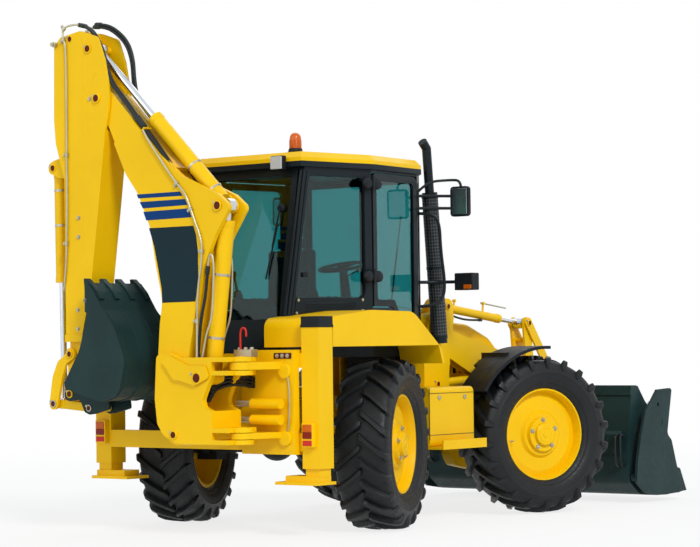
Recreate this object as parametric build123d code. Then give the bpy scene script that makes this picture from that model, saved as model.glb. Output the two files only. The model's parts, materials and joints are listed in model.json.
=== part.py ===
"""Backhoe loader with four equal steered wheels, a 4-in-1 loader bucket and a side-shift backhoe.

Units are millimetres. Every piece is drawn in the axle frame: +X forward, +Y to the machine's left, +Z up,
zero on the ground under the middle of the rear axle. write() moves each piece to the part's own frame,
whose origin is on the ground at the middle of the machine's overall length.

The machine is drawn as it parks for travel: wheels steered into a tight right turn (front and rear
wheels opposite ways), loader bucket flat just above the ground, backhoe carriage shifted to the right
and the backhoe folded and swung a quarter turn to the left.

The backhoe is drawn in a frame of its own: u outward from the swing axis in the plane of the boom,
w across it, z up. hoe() puts that frame where the swing axis is.
"""
from build123d import *
import os
from math import acos, atan2, cos, degrees, hypot, pi, radians, sin, tan

os.makedirs("parts", exist_ok=True)

# ---- overall layout -------------------------------------------------------------------------------
ORIGIN_X = 1320.0          # the part's origin, ahead of the rear axle: the middle of the overall length
WHEELBASE = 2200.0
KINGPIN_Y = 815.0          # half the distance between the two kingpins of an axle
STEER_REAR = 21.3          # degrees, counter-clockwise seen from above
STEER_FRONT = -20.6
HOE_X = -1300.0            # swing axis of the backhoe
HOE_Y = -700.0             # side-shift position: to the right of the machine's middle
FIT = 0.05                 # radial running clearance of a pin in its bore
SIDE_GAP = 5.0             # side clearance between plates that swing past each other
SEAT = 0.3                 # clearance of a curved or soft piece from its seat

# ---- hydraulic cylinders ----------------------------------------------------------------------------
ENGAGED = 45.0             # rod still in its barrel when fully out
ROD_END_GAP = 15.0         # rod's inner end from the bore's floor when fully in
GLAND = 44.0
GLAND_RIM = 3.0            # the gland stands out this far from the barrel

# ---- wheels -----------------------------------------------------------------------------------------
TYRE_R = 663.5
TYRE_HALF = 220.0          # half the section width
TYRE_OFFSET = 158.0        # tyre's middle plane, outboard of the kingpin
RIM_R = 383.0
RIM_HALF = 165.0
LUG_COUNT = 22             # lugs on each side of the tread
LUG_DEPTH = 40.0
LUG_WIDTH = 54.0
SECTORS = 20               # flats round the tyre
HUB_R = 150.0              # final-drive housing
HUB_FACE = 347.5           # outer face of the hub, outboard of the kingpin
SPINDLE_R = 60.0
KINGPIN_R = 45.0

# ---- axles and chassis ------------------------------------------------------------------------------
AXLE_Z = TYRE_R
AXLE_TUBE = 85.0           # half height of the axle beam
RAIL_IN = 270.0            # chassis rails, from the middle
RAIL_OUT = 330.0
RAIL_BOTTOM = 790.0
RAIL_TOP = 1010.0
RAIL_REAR = -865.0
RAIL_FRONT = 2560.0

# ---- loader arms: layers across one arm, measured from the machine's middle ---------------------------
ARM_IN = 435.0
ARM_OUT = 535.0
LEVER_T = 20.0             # tilt lever and bucket lug plates
LINK_T = 18.0              # tilt link plates
TOWER_T = 25.0
ARM_MID = (ARM_IN + ARM_OUT) / 2
LAYER_1 = (ARM_OUT + SIDE_GAP, ARM_OUT + SIDE_GAP + LEVER_T)
LAYER_2 = (LAYER_1[1] + SIDE_GAP, LAYER_1[1] + SIDE_GAP + LINK_T)

# loader pins (x, z)
LIFT_PIVOT = (1330.0, 1620.0)
LIFT_BASE = (1330.0, 1100.0)
LIFT_ROD = (2400.0, 1150.0)
TILT_BASE = (1487.0, 1744.0)
TILT_TOP = (2670.0, 1605.0)
LEVER_PIVOT = (2730.0, 1130.0)
BUCKET_TOP = (3330.0, 750.0)
BUCKET_PIVOT = (3330.0, 350.0)
CLAM_PIVOT = (3820.0, 709.0)
CLAM_BASE = (3478.0, 233.0)
CLAM_ROD = (3774.0, 867.0)
LOADER_PIN_R = 25.0
BUCKET_HALF = 1210.0       # half the loader bucket's width
CLAM_SIDE = 25.0           # thickness of the jaw's side plates

# ---- cab --------------------------------------------------------------------------------------------
CAB_HALF = 800.0
CAB_WALL = 48.0
CAB_FLOOR = 1400.0
CAB_EAVES = 2815.0
ROOF_TOP = 2930.0

# ---- rear frame and stabilisers ---------------------------------------------------------------------
FRAME_REAR = -945.0
FRAME_DEPTH = 80.0
LEG_SIZE = 165.0
LEG_OUT = 1150.0           # outer face of the stabiliser tubes: half the machine's frame width
LEG_WALL = 16.0
LEG_BOTTOM = 520.0
LEG_TOP = 1580.0
PAD_BOTTOM = 400.0
TOP_RAIL = (1270.0, 1380.0)
LOW_RAIL = (650.0, 785.0)

# ---- backhoe pins (u, z) ----------------------------------------------------------------------------
FOOT = (530.0, 780.0)
BOOM_BASE = (280.0, 1205.0)
ELBOW = (110.0, 2480.0)
ARM_PIVOT = (1339.0, 3365.0)
ARM_ROD = (1429.0, 3757.0)
HOE_CYL_BASE = (1867.0, 2855.0)
LEVER_TOP = (1658.0, 1391.0)
LEVER_END = (1843.0, 1004.0)
HOE_LINK = (1451.0, 972.0)
NOSE = (1659.0, 1081.0)
BOOM_HALF = 115.0
INNER_HALF = 95.0          # half the width of the sliding inner arm
KP_EAR = (120.0, 165.0)    # kingpost ears, across
HOE_PIN_R = 30.0
HOE_BUCKET_HALF = 300.0


# ---- small tools ------------------------------------------------------------------------------------
def block(x, y, z):
    """A box from (low, high) pairs."""
    return Pos((x[0] + x[1]) / 2, (y[0] + y[1]) / 2,
               (z[0] + z[1]) / 2) * Box(x[1] - x[0], y[1] - y[0], z[1] - z[0])


def outline(rows):
    """A closed wire in the XZ plane from rows of (x, z, corner radius).

    A missing radius is a sharp corner.
    """
    pts = [(r[0], r[1], r[2] if len(r) > 2 else 0.0) for r in rows]
    n = len(pts)
    edges = []
    ends = []
    for i in range(n):
        (ax, az, _), (bx, bz, r), (cx, cz, _) = pts[i - 1], pts[i], pts[(i + 1) % n]
        if not r:
            ends.append(((bx, bz), (bx, bz), None))
            continue
        la, lc = hypot(ax - bx, az - bz), hypot(cx - bx, cz - bz)
        ua, uc = ((ax - bx) / la, (az - bz) / la), ((cx - bx) / lc, (cz - bz) / lc)
        half = acos(max(-1.0, min(1.0, ua[0] * uc[0] + ua[1] * uc[1]))) / 2
        run = r / tan(half)
        mx, mz = ua[0] + uc[0], ua[1] + uc[1]
        lm = hypot(mx, mz)
        reach = r / sin(half) - r
        mid = (bx + mx / lm * reach, bz + mz / lm * reach)
        ends.append(((bx + ua[0] * run, bz + ua[1] * run), (bx + uc[0] * run, bz + uc[1] * run), mid))
    for i in range(n):
        start, stop, mid = ends[i]
        if mid:
            edges.append(Edge.make_three_point_arc(*[Vector(p[0], 0, p[1]) for p in (start, mid, stop)]))
        nxt = ends[(i + 1) % n][0]
        if hypot(nxt[0] - stop[0], nxt[1] - stop[1]) > 1e-6:
            edges.append(Edge.make_line(Vector(stop[0], 0, stop[1]), Vector(nxt[0], 0, nxt[1])))
    return Wire(edges)


def plate(rows, y):
    """An XZ outline drawn across y = (low, high)."""
    face = Face(outline(rows))
    solid = Solid.extrude(face, Vector(0, y[1] - y[0], 0))
    return Pos(0, y[0], 0) * solid


def disc(p, r, y):
    """A cylinder across y = (low, high), its axis along Y through p = (x, z)."""
    return Pos(p[0], (y[0] + y[1]) / 2, p[1]) * Rot(90, 0, 0) * Cylinder(r, y[1] - y[0])


def post(x, y, r, z):
    """An upright cylinder."""
    return Pos(x, y, (z[0] + z[1]) / 2) * Cylinder(r, z[1] - z[0])


def bar(p, q, r):
    """A round bar between two points."""
    a, b = Vector(*p), Vector(*q)
    return Plane(origin=a, z_dir=b - a) * Cylinder(r, (b - a).length,
                                                   align=(Align.CENTER, Align.CENTER, Align.MIN))


def strap(p, q, rp, rq, y):
    """A plate with two round ends."""
    d = hypot(q[0] - p[0], q[1] - p[1])
    a = atan2(q[1] - p[1], q[0] - p[0])
    t = acos((rp - rq) / d)
    corners = [(c[0] + r * cos(a + s * t), c[1] + r * sin(a + s * t)) for c, r, s in
               ((p, rp, 1), (q, rq, 1), (q, rq, -1), (p, rp, -1))]
    return join(plate(corners, y), disc(p, rp, y), disc(q, rq, y))


def join(first, *more):
    """Everything fused into as few solids as it makes."""
    out = first
    for piece in more:
        out = out + piece
    return out


def both(piece):
    """The piece and its mirror image on the machine's other side."""
    return join(piece, mirror(piece, about=Plane.XZ))


def bearing(start, end):
    """Direction in degrees from one (x, z) pin to another."""
    return degrees(atan2(end[1] - start[1], end[0] - start[0]))


def ram(base, eye, y, r, rod_r, body, rear_eye, front_eye, eye_r, pin_r, extend, retract, neck=0.0):
    """A hydraulic cylinder in the XZ plane at y, from its base pin to its rod's eye, as it stands at rest.

    body is the distance from the base pin to the gland's outer face. rear_eye and front_eye are
    the (low, high) pairs across which each eye lies. extend and retract are how far the rod still
    comes out and goes in. neck is how far from the pin the barrel of a forked base starts.
    Returns the barrel and the rod.
    """
    length = hypot(eye[0] - base[0], eye[1] - base[1])
    start = body - extend - ENGAGED
    floor = start - retract - ROD_END_GAP
    foot = max(neck, eye_r / 2)
    along = Rot(0, 90, 0)
    barrel = join(
        Pos((foot + body) / 2, 0, 0) * along * Cylinder(r, body - foot),
        Pos(body - GLAND / 2, 0, 0) * along * Cylinder(r + GLAND_RIM, GLAND),
        *[disc((0, 0), eye_r, span) for span in rear_eye],
        *[block((0, foot + 12), span, (-eye_r * 0.8, eye_r * 0.8)) for span in rear_eye if neck],
    )
    barrel = barrel - disc((0, 0), pin_r + FIT, (-2 * r, 2 * r))
    barrel = barrel - Pos((floor + body) / 2 + 10, 0, 0) * along * Cylinder(rod_r + SEAT, body - floor + 20)
    tail = length - eye_r / 2
    rod = join(Pos((start + tail) / 2, 0, 0) * along * Cylinder(rod_r, tail - start),
               disc((length, 0), eye_r, front_eye))
    rod = rod - disc((length, 0), pin_r + FIT, (front_eye[0] - 1, front_eye[1] + 1))
    turn = Pos(base[0], y, base[1]) * Rot(0, -bearing(base, eye), 0)
    return turn * barrel, turn * rod


def pin_ends(p, r, spans):
    """Stub pins across each (low, high) pair."""
    return join(*[disc(p, r, span) for span in spans])


def write(name, piece):
    """Moves a piece to the part's frame and writes its STEP file."""
    moved = Pos(-ORIGIN_X, 0, 0) * piece
    found = moved.solids()
    shape = found[0] if len(found) == 1 else Compound(children=list(found))
    shape.label = name
    export_step(shape, f"parts/{name}.step")


def hoe(piece):
    """From the backhoe's own frame (u, w, z) to the machine."""
    return Pos(HOE_X, HOE_Y, 0) * Rot(0, 0, 90) * piece


# ---- wheels -----------------------------------------------------------------------------------------
TYRE_BORE = (RIM_R + 1 + SEAT) / cos(pi / SECTORS)
TREAD_FOOT = TYRE_R - LUG_DEPTH
# half section of the carcass: distance from the middle plane, radius
TYRE_SECTION = ((168, TYRE_BORE), (TYRE_HALF, 500), (190, TREAD_FOOT - 6))
LUG_ANGLE = 38.0           # between a tread bar and the axle's direction
# one tread bar seen from its side: distance along the bar from the middle plane, radius
LUG_RUN = (TYRE_HALF - 6) / cos(radians(LUG_ANGLE))
LUG_SHAPE = ((-12, TREAD_FOOT - 20), (-12, TYRE_R - 1), (LUG_RUN * 0.86, TYRE_R - 21), (LUG_RUN, 575))


def tyre():
    """A faceted carcass with angled tread bars, its axle along Y, its middle plane at y = 0."""
    ring = [(y, r) for y, r in TYRE_SECTION] + [(-y, r) for y, r in TYRE_SECTION[::-1]]
    step = 2 * pi / SECTORS

    def at(y, r, i):
        return Vector(r * cos(i * step), y, r * sin(i * step))

    faces = []
    for i in range(SECTORS):
        for (y0, r0), (y1, r1) in zip(ring, ring[1:] + ring[:1]):
            quad = [at(y0, r0, i), at(y1, r1, i), at(y1, r1, i + 1), at(y0, r0, i + 1)]
            faces.append(Face(Wire.make_polygon(quad, close=True)))
    carcass = Solid(Shell(faces))
    bars = []
    for side in (1, -1):
        prism = Rot(0, 0, side * 90 - side * LUG_ANGLE) * plate(LUG_SHAPE, (-LUG_WIDTH / 2, LUG_WIDTH / 2))
        for i in range(LUG_COUNT):
            shift = 0.5 if side < 0 else 0.0
            bars.append(Rot(0, 360.0 * (i + shift) / LUG_COUNT, 0) * prism)
    return carcass + bars


def rim():
    """Disc wheel with its final-drive hub; y is measured outboard from the kingpin."""
    mid, half = TYRE_OFFSET, RIM_HALF
    rows = (  # y, r: inner edge of the barrel, hub, then back over the outer face
        (mid - half, RIM_R + 1), (mid - half, RIM_R - 24), (mid - 90, RIM_R - 34), (mid + 60, RIM_R - 44),
        (mid + 76, RIM_R - 70), (mid + 76, HUB_R + 30), (HUB_BACK, HUB_R), (HUB_BACK, SPINDLE_R + FIT),
        (HUB_FACE - HUB_WALL, SPINDLE_R + FIT), (HUB_FACE - HUB_WALL, 0), (HUB_FACE, 0), (HUB_FACE, 84),
        (HUB_FACE - 5, 92), (HUB_FACE - 32, 97), (HUB_FACE - 32, HUB_R - 8), (mid + 125, HUB_R),
        (mid + 125, 178),
        (mid + 98, 200), (mid + 98, RIM_R - 78), (mid + 84, RIM_R - 30), (mid + 130, RIM_R - 22),
        (mid + half, RIM_R - 12), (mid + half, RIM_R + 1))
    face = Face(Wire.make_polygon([Vector(r, y, 0) for y, r in rows], close=True))
    return Solid.revolve(face, 360, Axis((0, 0, 0), (0, 1, 0)))


HUB_BACK = 112.0           # inner face of the hub, outboard of the kingpin
HUB_WALL = 60.0
YOKE_GAP = (105.0, 108.0)  # half height of the knuckle's sleeve and of the gap in the yoke
YOKE_OUT = 50.0            # the yoke's arms reach this far outboard of the kingpin


def knuckle():
    """Steering knuckle with its spindle, in the frame of a left wheel: y outboard, zero at the kingpin."""
    body = join(post(0, 0, 82, (-YOKE_GAP[0], YOKE_GAP[0])), disc((0, 0), 100, (60, HUB_BACK - 8)),
                disc((0, 0), SPINDLE_R, (100, HUB_FACE - HUB_WALL - 2)))
    return body - post(0, 0, KINGPIN_R + FIT, (-120, 120))


# front mudguard, which turns with its wheel: angles above the rearward horizontal, radii
GUARD_R = (716.0, 742.0)
GUARD_SPAN = (31.0, 52.0, 93.0)
GUARD_Y = (-50.0, 378.0)
GUARD_CUT = 15.0           # inner edge of the rear flap, cut back to clear the lift cylinder


def guard_arc(low, high, y):
    """A stretch of mudguard between two angles across y = (low, high)."""
    def at(r, a):
        return (-r * cos(radians(a)), r * sin(radians(a)))
    mid = (low + high) / 2
    inner, outer = [[Vector(p[0], 0, p[1]) for p in (at(r, low), at(r, mid), at(r, high))] for r in GUARD_R]
    wire = Wire([Edge.make_three_point_arc(*outer), Edge.make_line(outer[2], inner[2]),
                 Edge.make_three_point_arc(*inner[::-1]), Edge.make_line(inner[0], outer[0])])
    return Pos(0, y[0], 0) * Solid.extrude(Face(wire), Vector(0, y[1] - y[0], 0))


def front_guard():
    """Mudguard, its riser inboard of the tyre and the arm to the knuckle."""
    skin = join(guard_arc(GUARD_SPAN[0], GUARD_SPAN[1] + 1, (GUARD_CUT, GUARD_Y[1])),
                guard_arc(GUARD_SPAN[1], GUARD_SPAN[2], GUARD_Y))
    riser = join(
        plate([(-360, -40, 15), (-300, -40, 15), (-300, 645), (-345, 645), (-360, 600)], (-96, -78)),
        block((-345, -300), (-96, 250), (652, 690)),
        block((-345, -300), (-96, -78), (600, 690)),
        bar((-60, -18, 0), (-330, -84, 0), 24),
    )
    return join(skin, riser)


def wheel_end(axle_x, side, steer, piece):
    """Puts a piece of the left wheel's frame on one end of an axle, turned by the steering."""
    turned = piece if side > 0 else mirror(piece, about=Plane.XZ)
    return Pos(axle_x, side * KINGPIN_Y, AXLE_Z) * Rot(0, 0, steer) * turned


def axle(x):
    """Axle beam with its middle housing, the pads under the rails and the yokes with their kingpins."""
    beam = join(
        plate([(x - 75, AXLE_Z - AXLE_TUBE, 20), (x + 75, AXLE_Z - AXLE_TUBE, 20),
               (x + 75, AXLE_Z + AXLE_TUBE - 12, 20), (x - 75, AXLE_Z + AXLE_TUBE - 12, 20)],
              (-KINGPIN_Y + 125, KINGPIN_Y - 125)),
        Pos(x, 60, AXLE_Z) * Sphere(150) - block((x - 200, x + 200), (-200, 300), (RAIL_BOTTOM, RAIL_TOP)),
    )
    yoke = join(
        block((x - 60, x + 60), (KINGPIN_Y - 160, KINGPIN_Y - 112), (AXLE_Z - 150, AXLE_Z + 150)),
        *[block((x - 60, x + 60), (KINGPIN_Y - 130, KINGPIN_Y + YOKE_OUT), z) for z in
          ((AXLE_Z - 150, AXLE_Z - YOKE_GAP[1]), (AXLE_Z + YOKE_GAP[1], AXLE_Z + 150))],
        post(x, KINGPIN_Y, KINGPIN_R, (AXLE_Z - 150, AXLE_Z + 150)),
    )
    pads = block((x - 90, x + 90), (RAIL_IN, RAIL_OUT), (AXLE_Z + AXLE_TUBE - 30, RAIL_BOTTOM))
    return join(beam, both(yoke), both(pads))


def build_wheels():
    """Knuckles, rims and tyres at the four corners, and the two axles."""
    carcass, wheel, plain = tyre(), rim(), knuckle()
    guarded = join(plain, front_guard())
    for end, x, steer in (("front", WHEELBASE, STEER_FRONT), ("rear", 0.0, STEER_REAR)):
        write(f"{end}_axle", axle(x))
        for hand, side in (("right", -1), ("left", 1)):
            write(f"knuckle_{end}_{hand}", wheel_end(x, side, steer, guarded if end == "front" else plain))
            write(f"rim_{end}_{hand}", wheel_end(x, side, steer, wheel))
            write(f"tyre_{end}_{hand}", wheel_end(x, side, steer, Pos(0, TYRE_OFFSET, 0) * carcass))


# ---- chassis ----------------------------------------------------------------------------------------
TOWER_LAYERS = ((ARM_IN - SIDE_GAP - TOWER_T, ARM_IN - SIDE_GAP),
                (ARM_OUT + SIDE_GAP, ARM_OUT + SIDE_GAP + TOWER_T))
TOWER_X = (1150.0, 1480.0)
SADDLE_Z = (800.0, 980.0)
TOWER_SHAPE = (  # x, z, corner radius
    (1150, 800), (1480, 800), (1500, 1200, 60), (1530, 1420, 60), (1575, 1640, 40), (1555, 1810, 66),
    (1420, 1812, 60),
    (1240, 1640, 90), (1150, 1200, 60))


def main_frame():
    """Rails, cross-members, the saddles that reach out to the loader towers and the towers."""
    rail = block((RAIL_REAR, RAIL_FRONT), (RAIL_IN, RAIL_OUT), (RAIL_BOTTOM, RAIL_TOP))
    cross = [block(x, (-RAIL_IN - 5, RAIL_IN + 5), z) for x, z in
             (((-700, -620), (820, 990)), ((560, 640), (RAIL_BOTTOM + 10, 960)),
              ((1160, 1230), (RAIL_BOTTOM + 5, 870)))]
    nose = block((RAIL_FRONT - 70, RAIL_FRONT + 55), (-RAIL_OUT, RAIL_OUT), (800, 1000))
    saddle = block(TOWER_X, (RAIL_OUT - 5, TOWER_LAYERS[1][1]), SADDLE_Z)
    tower = join(
        *[plate(TOWER_SHAPE, y) for y in TOWER_LAYERS],
        block((TOWER_X[0], TOWER_X[0] + 20), (TOWER_LAYERS[0][0], TOWER_LAYERS[1][1]),
              (SADDLE_Z[1] - 5, 1440)),
        *[disc(p, r, (TOWER_LAYERS[0][0], TOWER_LAYERS[1][1] + 8)) for p, r in
          ((LIFT_PIVOT, 35), (TILT_BASE, LOADER_PIN_R), (LIFT_BASE, LOADER_PIN_R))],
    )
    return join(rail, mirror(rail, about=Plane.XZ), nose, *cross, both(join(saddle, tower)))


def engine():
    """Engine and gearbox as one closed block resting on the rails' cross-members."""
    return block((1165, 2240), (-250, 250), (870, 1440))


HOOD_HALF = 340.0
HOOD_SHEET = 12.0
HOOD_EDGE_R = 38.0         # rounding along the top of the hood
HOOD_HINGE = (1185.0, 1560.0)
HOOD_SHAPE = (  # x, z, corner radius
    (1160, 1015), (1160, 1662), (2100, 1600, 300), (2420, 1480, 160), (2600, 1330, 90), (2628, 1015))
GRILLE_Z = (1060.0, 1270.0)


def hood():
    """Engine hood: one shell open below and behind, with louvred side openings and a slatted front."""
    solid = plate(HOOD_SHAPE, (-HOOD_HALF, HOOD_HALF))
    long_edges = [e for e in solid.edges() if abs(abs(e.center().Y) - HOOD_HALF) < 1 and e.center().Z > 1300
                  and e.center().X > 1200]
    shell = fillet(long_edges, HOOD_EDGE_R)
    inner = plate([(1100, 900), (1100, 1648), (2096, 1587, 290), (2412, 1468, 150), (2587, 1324, 80),
                   (2615, 900)],
                  (-HOOD_HALF + HOOD_SHEET, HOOD_HALF - HOOD_SHEET))
    inner_edges = [e for e in inner.edges() if abs(abs(e.center().Y) - HOOD_HALF + HOOD_SHEET) < 1
                   and e.center().Z > 1300 and 1150 < e.center().X]
    shell = shell - fillet(inner_edges, 30)
    slots = [block((1500 + 90 * i, 1560 + 90 * i), (-400, 400), (1180, 1420)) for i in range(6)]
    bars = [block((2560, 2700), (-250, 250), (GRILLE_Z[0] + 42 * i, GRILLE_Z[0] + 42 * i + 26))
            for i in range(5)]
    hinge = both(join(disc(HOOD_HINGE, 22, (180, 240)),
                      block((1165, 1210), (185, 235), (HOOD_HINGE[1], 1655))))
    return join(shell - slots - bars, hinge) - disc(HOOD_HINGE, 12 + FIT, (-260, 260))


def hood_bracket():
    """Brackets in front of the cab with the hood's hinge pins."""
    one = join(disc(HOOD_HINGE, 12, (160, 260)),
               *[block((CAB_FRONT[0], 1200), y, (HOOD_HINGE[1] - 20, HOOD_HINGE[1] + 20))
                                                   for y in ((155, 172), (248, 265))])
    return both(one)


EXHAUST_Y = -640.0


def exhaust():
    """Exhaust stack: bracket to the tower, perforated heat guard and the bent tail pipe."""
    foot, top, tip = (1270, EXHAUST_Y, 1440), (1155, EXHAUST_Y, 2680), (1120, EXHAUST_Y, 3040)
    return join(bar(foot, top, 64), bar((1158, EXHAUST_Y, 2650), tip, 38),
                bar(tip, (1065, EXHAUST_Y, 3095), 38),
                Pos(*tip) * Sphere(38), block((1200, 1260), (EXHAUST_Y, -TOWER_LAYERS[1][1]), (1470, 1530)))


BOX_X = (790.0, 1400.0)
BOX_Z = (605.0, 1083.0)
BOX_OUT = 880.0
STEP_OUT = 1000.0


def side_boxes():
    """Fuel tank and tool box hung from the rails, each with its step."""
    body = block(BOX_X, (RAIL_OUT + 70, BOX_OUT), BOX_Z)
    body = fillet(body.edges().filter_by(Axis.X).filter_by(lambda e: abs(e.center().Y) > BOX_OUT - 1), 40)
    clear = block((TOWER_X[0] - 6, BOX_X[1] + 10), (0, TOWER_LAYERS[1][1] + 14), (SADDLE_Z[0] - 30, 1200))
    hanger = block((900, 1000), (RAIL_OUT, RAIL_OUT + 75), (850, 950))
    step = join(block((BOX_X[0] + 20, BOX_X[1] + 10), (BOX_OUT - 120, STEP_OUT), (585, BOX_Z[0])),
                block((BOX_X[0] + 20, BOX_X[1] + 10), (STEP_OUT - 12, STEP_OUT), (590, 660)))
    return both(join(body - clear, hanger, step))


# ---- front loader -----------------------------------------------------------------------------------
ARM_SHAPE = (  # x, z, corner radius
    (1262, 1600), (1370, 1390, 40), (1840, 1190, 200), (2300, 1060, 200), (2600, 1060, 100),
    (2862, 1000, 60),
    (2875, 420, 120), (2950, 330, 60), (3250, 275, 60), (3330, 281), (3330, 419), (3200, 480, 80),
    (3075, 620, 80),
    (3050, 1050, 60), (2950, 1200, 60), (2700, 1270, 60), (2130, 1410, 200), (1510, 1562, 60), (1350, 1693))
ARM_SKIN = 8.0             # side plates of the arm where the cylinders fold into it
ARM_SLOT = (ARM_IN + ARM_SKIN, ARM_OUT - ARM_SKIN)
TILT_SLOT = (  # room for the tilt cylinder when the arms are up
    (1449, 1750), (1449, 1689), (1468, 1620), (1449, 1551), (1421, 1514), (1421, 1470), (1445, 1442),
    (1484, 1430),
    (1560, 1437), (1900, 1487), (1900, 1750))
LIFT_SLOT = ((1180, 900), (2470, 900), (2470, 1205), (2380, 1212), (1900, 1310), (1445, 1413), (1180, 1475))
NOTCH_HALF = 36.0          # clearance round the tilt cylinder's pin as the arm turns past it
NOTCH_TO = -52.0           # degrees, seen from the arm's pivot
CROSS_TUBE = (2940.0, 800.0)
LOADER_CYL_R = 36.0
LIFT_OUT, TILT_OUT, TILT_IN = 552.0, 620.0, 130.0
LIFT_BODY, TILT_BODY = 900.0, 862.0
LOADER_ROD_R = 22.0
EYE_HALF = 32.0
TILT_ROD_EYE_HALF = 45.0
LEVER_PIN_R = 30.0


def tilt_pin_notch():
    """The path of the tilt cylinder's base pin through the arm."""
    orbit = hypot(TILT_BASE[0] - LIFT_PIVOT[0], TILT_BASE[1] - LIFT_PIVOT[1])
    reach = [(LIFT_PIVOT[0] + 500 * cos(radians(a)), LIFT_PIVOT[1] + 500 * sin(radians(a)))
             for a in (NOTCH_TO, -5, 50)]
    span = (ARM_IN - 1, ARM_OUT + 1)
    ring = disc(LIFT_PIVOT, orbit + NOTCH_HALF, span) - disc(LIFT_PIVOT, orbit - NOTCH_HALF, span)
    return ring & plate([LIFT_PIVOT, *reach], span)


def loader_arm():
    """The left arm: a box arm with room for both cylinders, its bosses and its pins."""
    body = join(plate(ARM_SHAPE, (ARM_IN, ARM_OUT)), disc(LIFT_PIVOT, 75, (ARM_IN, ARM_OUT)),
                disc(BUCKET_PIVOT, 70, (ARM_IN, ARM_OUT)))
    body = body - plate(TILT_SLOT, ARM_SLOT) - plate(LIFT_SLOT, ARM_SLOT) - tilt_pin_notch()
    body = body - disc(LIFT_PIVOT, 35 + FIT, (ARM_IN - 1, ARM_OUT + 1))
    pin_span = (LAYER_1_IN[0] - SIDE_GAP, LAYER_1[1] + SIDE_GAP)
    rod_gap = (ARM_MID - EYE_HALF - SIDE_GAP, ARM_MID + EYE_HALF + SIDE_GAP)
    return join(body, disc(LEVER_PIVOT, LEVER_PIN_R, pin_span), disc(BUCKET_PIVOT, LEVER_PIN_R, pin_span),
                pin_ends(LIFT_ROD, LOADER_PIN_R, ((ARM_IN - 4, rod_gap[0]), (rod_gap[1], ARM_OUT + 4))))


def across(layer):
    """The same layer on the inner side of an arm."""
    return (2 * ARM_MID - layer[1], 2 * ARM_MID - layer[0])


LAYER_1_IN = across(LAYER_1)
LAYER_2_IN = across(LAYER_2)


def loader_arms():
    """The two loader arms, joined by their cross tube."""
    tube = disc(CROSS_TUBE, 65, (-ARM_IN - 2, ARM_IN + 2))
    return join(both(loader_arm()), tube)


def bellcranks():
    """Tilt levers: a pair of plates on each arm with a spacer tube and the pins for rod and link."""
    a = radians(bearing(LEVER_PIVOT, TILT_TOP))
    spacer = (LEVER_PIVOT[0] + 330 * cos(a), LEVER_PIVOT[1] + 330 * sin(a))
    plates = [strap(LEVER_PIVOT, TILT_TOP, 62, 52, y) - disc(LEVER_PIVOT, LEVER_PIN_R + FIT,
                                                             (y[0] - 1, y[1] + 1))
              for y in (LAYER_1, LAYER_1_IN)]
    pin = pin_ends(TILT_TOP, LOADER_PIN_R, ((ARM_MID + TILT_ROD_EYE_HALF + SIDE_GAP, LAYER_2[1] + 6),
                                            (LAYER_2_IN[0] - 6, ARM_MID - TILT_ROD_EYE_HALF - SIDE_GAP)))
    return both(join(*plates, disc(spacer, 22, (LAYER_1_IN[1] - 2, LAYER_1[0] + 2)), pin))


def tilt_links():
    """The links from the bellcranks to the bucket, one a side."""
    links = []
    for y in (LAYER_2, LAYER_2_IN):
        bores = [disc(p, LOADER_PIN_R + FIT, (y[0] - 1, y[1] + 1)) for p in (TILT_TOP, BUCKET_TOP)]
        links.append(strap(TILT_TOP, BUCKET_TOP, 45, 45, y) - bores)
    return both(join(*links))


def lift_cylinders():
    """The pair of lift cylinders: barrels and rods."""
    return ram(LIFT_BASE, LIFT_ROD, ARM_MID, LOADER_CYL_R, LOADER_ROD_R, LIFT_BODY, ((-EYE_HALF, EYE_HALF),),
               (-EYE_HALF, EYE_HALF), 46, LOADER_PIN_R, LIFT_OUT, 0.0)


def tilt_cylinders():
    """The pair of tilt cylinders: barrels and rods."""
    barrel, rod = ram(TILT_BASE, TILT_TOP, ARM_MID, LOADER_CYL_R, LOADER_ROD_R, TILT_BODY,
                      ((-EYE_HALF, EYE_HALF),), (-TILT_ROD_EYE_HALF, TILT_ROD_EYE_HALF), 48, LOADER_PIN_R,
                      TILT_OUT, TILT_IN)
    return barrel, rod


BLADE_TOP = (3506.0, 1030.0)
BLADE_REAR = (3440.0, 195.0)
EDGE = (3765.0, 58.0)      # cutting edge of the fixed blade
BLADE_SHAPE = (  # x, z, corner radius: rear face down to the edge, then back up the front face
    BLADE_TOP, (3420, 560, 900), (*BLADE_REAR, 110), (3610, 72, 120), EDGE, (EDGE[0], EDGE[1] + 18),
    (3616, 96, 100), (3466, 210, 90), (3447, 560, 880), (BLADE_TOP[0] + 26, BLADE_TOP[1]))
BLADE_END = (  # plates that close the blade's ends and carry the jaw's pivots
    BLADE_TOP, (3421, 560, 900), (*BLADE_REAR, 110), (3611, 72, 120), EDGE, (3700, 260, 80),
    (3745, 560, 150),
    (3872, 640, 60), (3880, 775, 60), (3720, 900, 80), (3600, 1040, 30))
CLAM_LAYER = (1115.0, 1175.0)
CLAM_CYL_R = 30.0
CLAM_EYE_HALF = 25.0
CLAM_IN = 214.0
BLADE_HALF = CLAM_LAYER[0] - 10
JAW_IN = BUCKET_HALF - CLAM_SIDE
LUG_SHAPE_LOADER = (  # x, z, corner radius: the plates behind the blade between its two pins
    (3330, 283), (3400, 262, 30), (3452, 190), (3470, 196), (3462, 800), (3440, 830, 40), (3330, 806),
    (3272, 750),
    (3262, 350))


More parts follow.
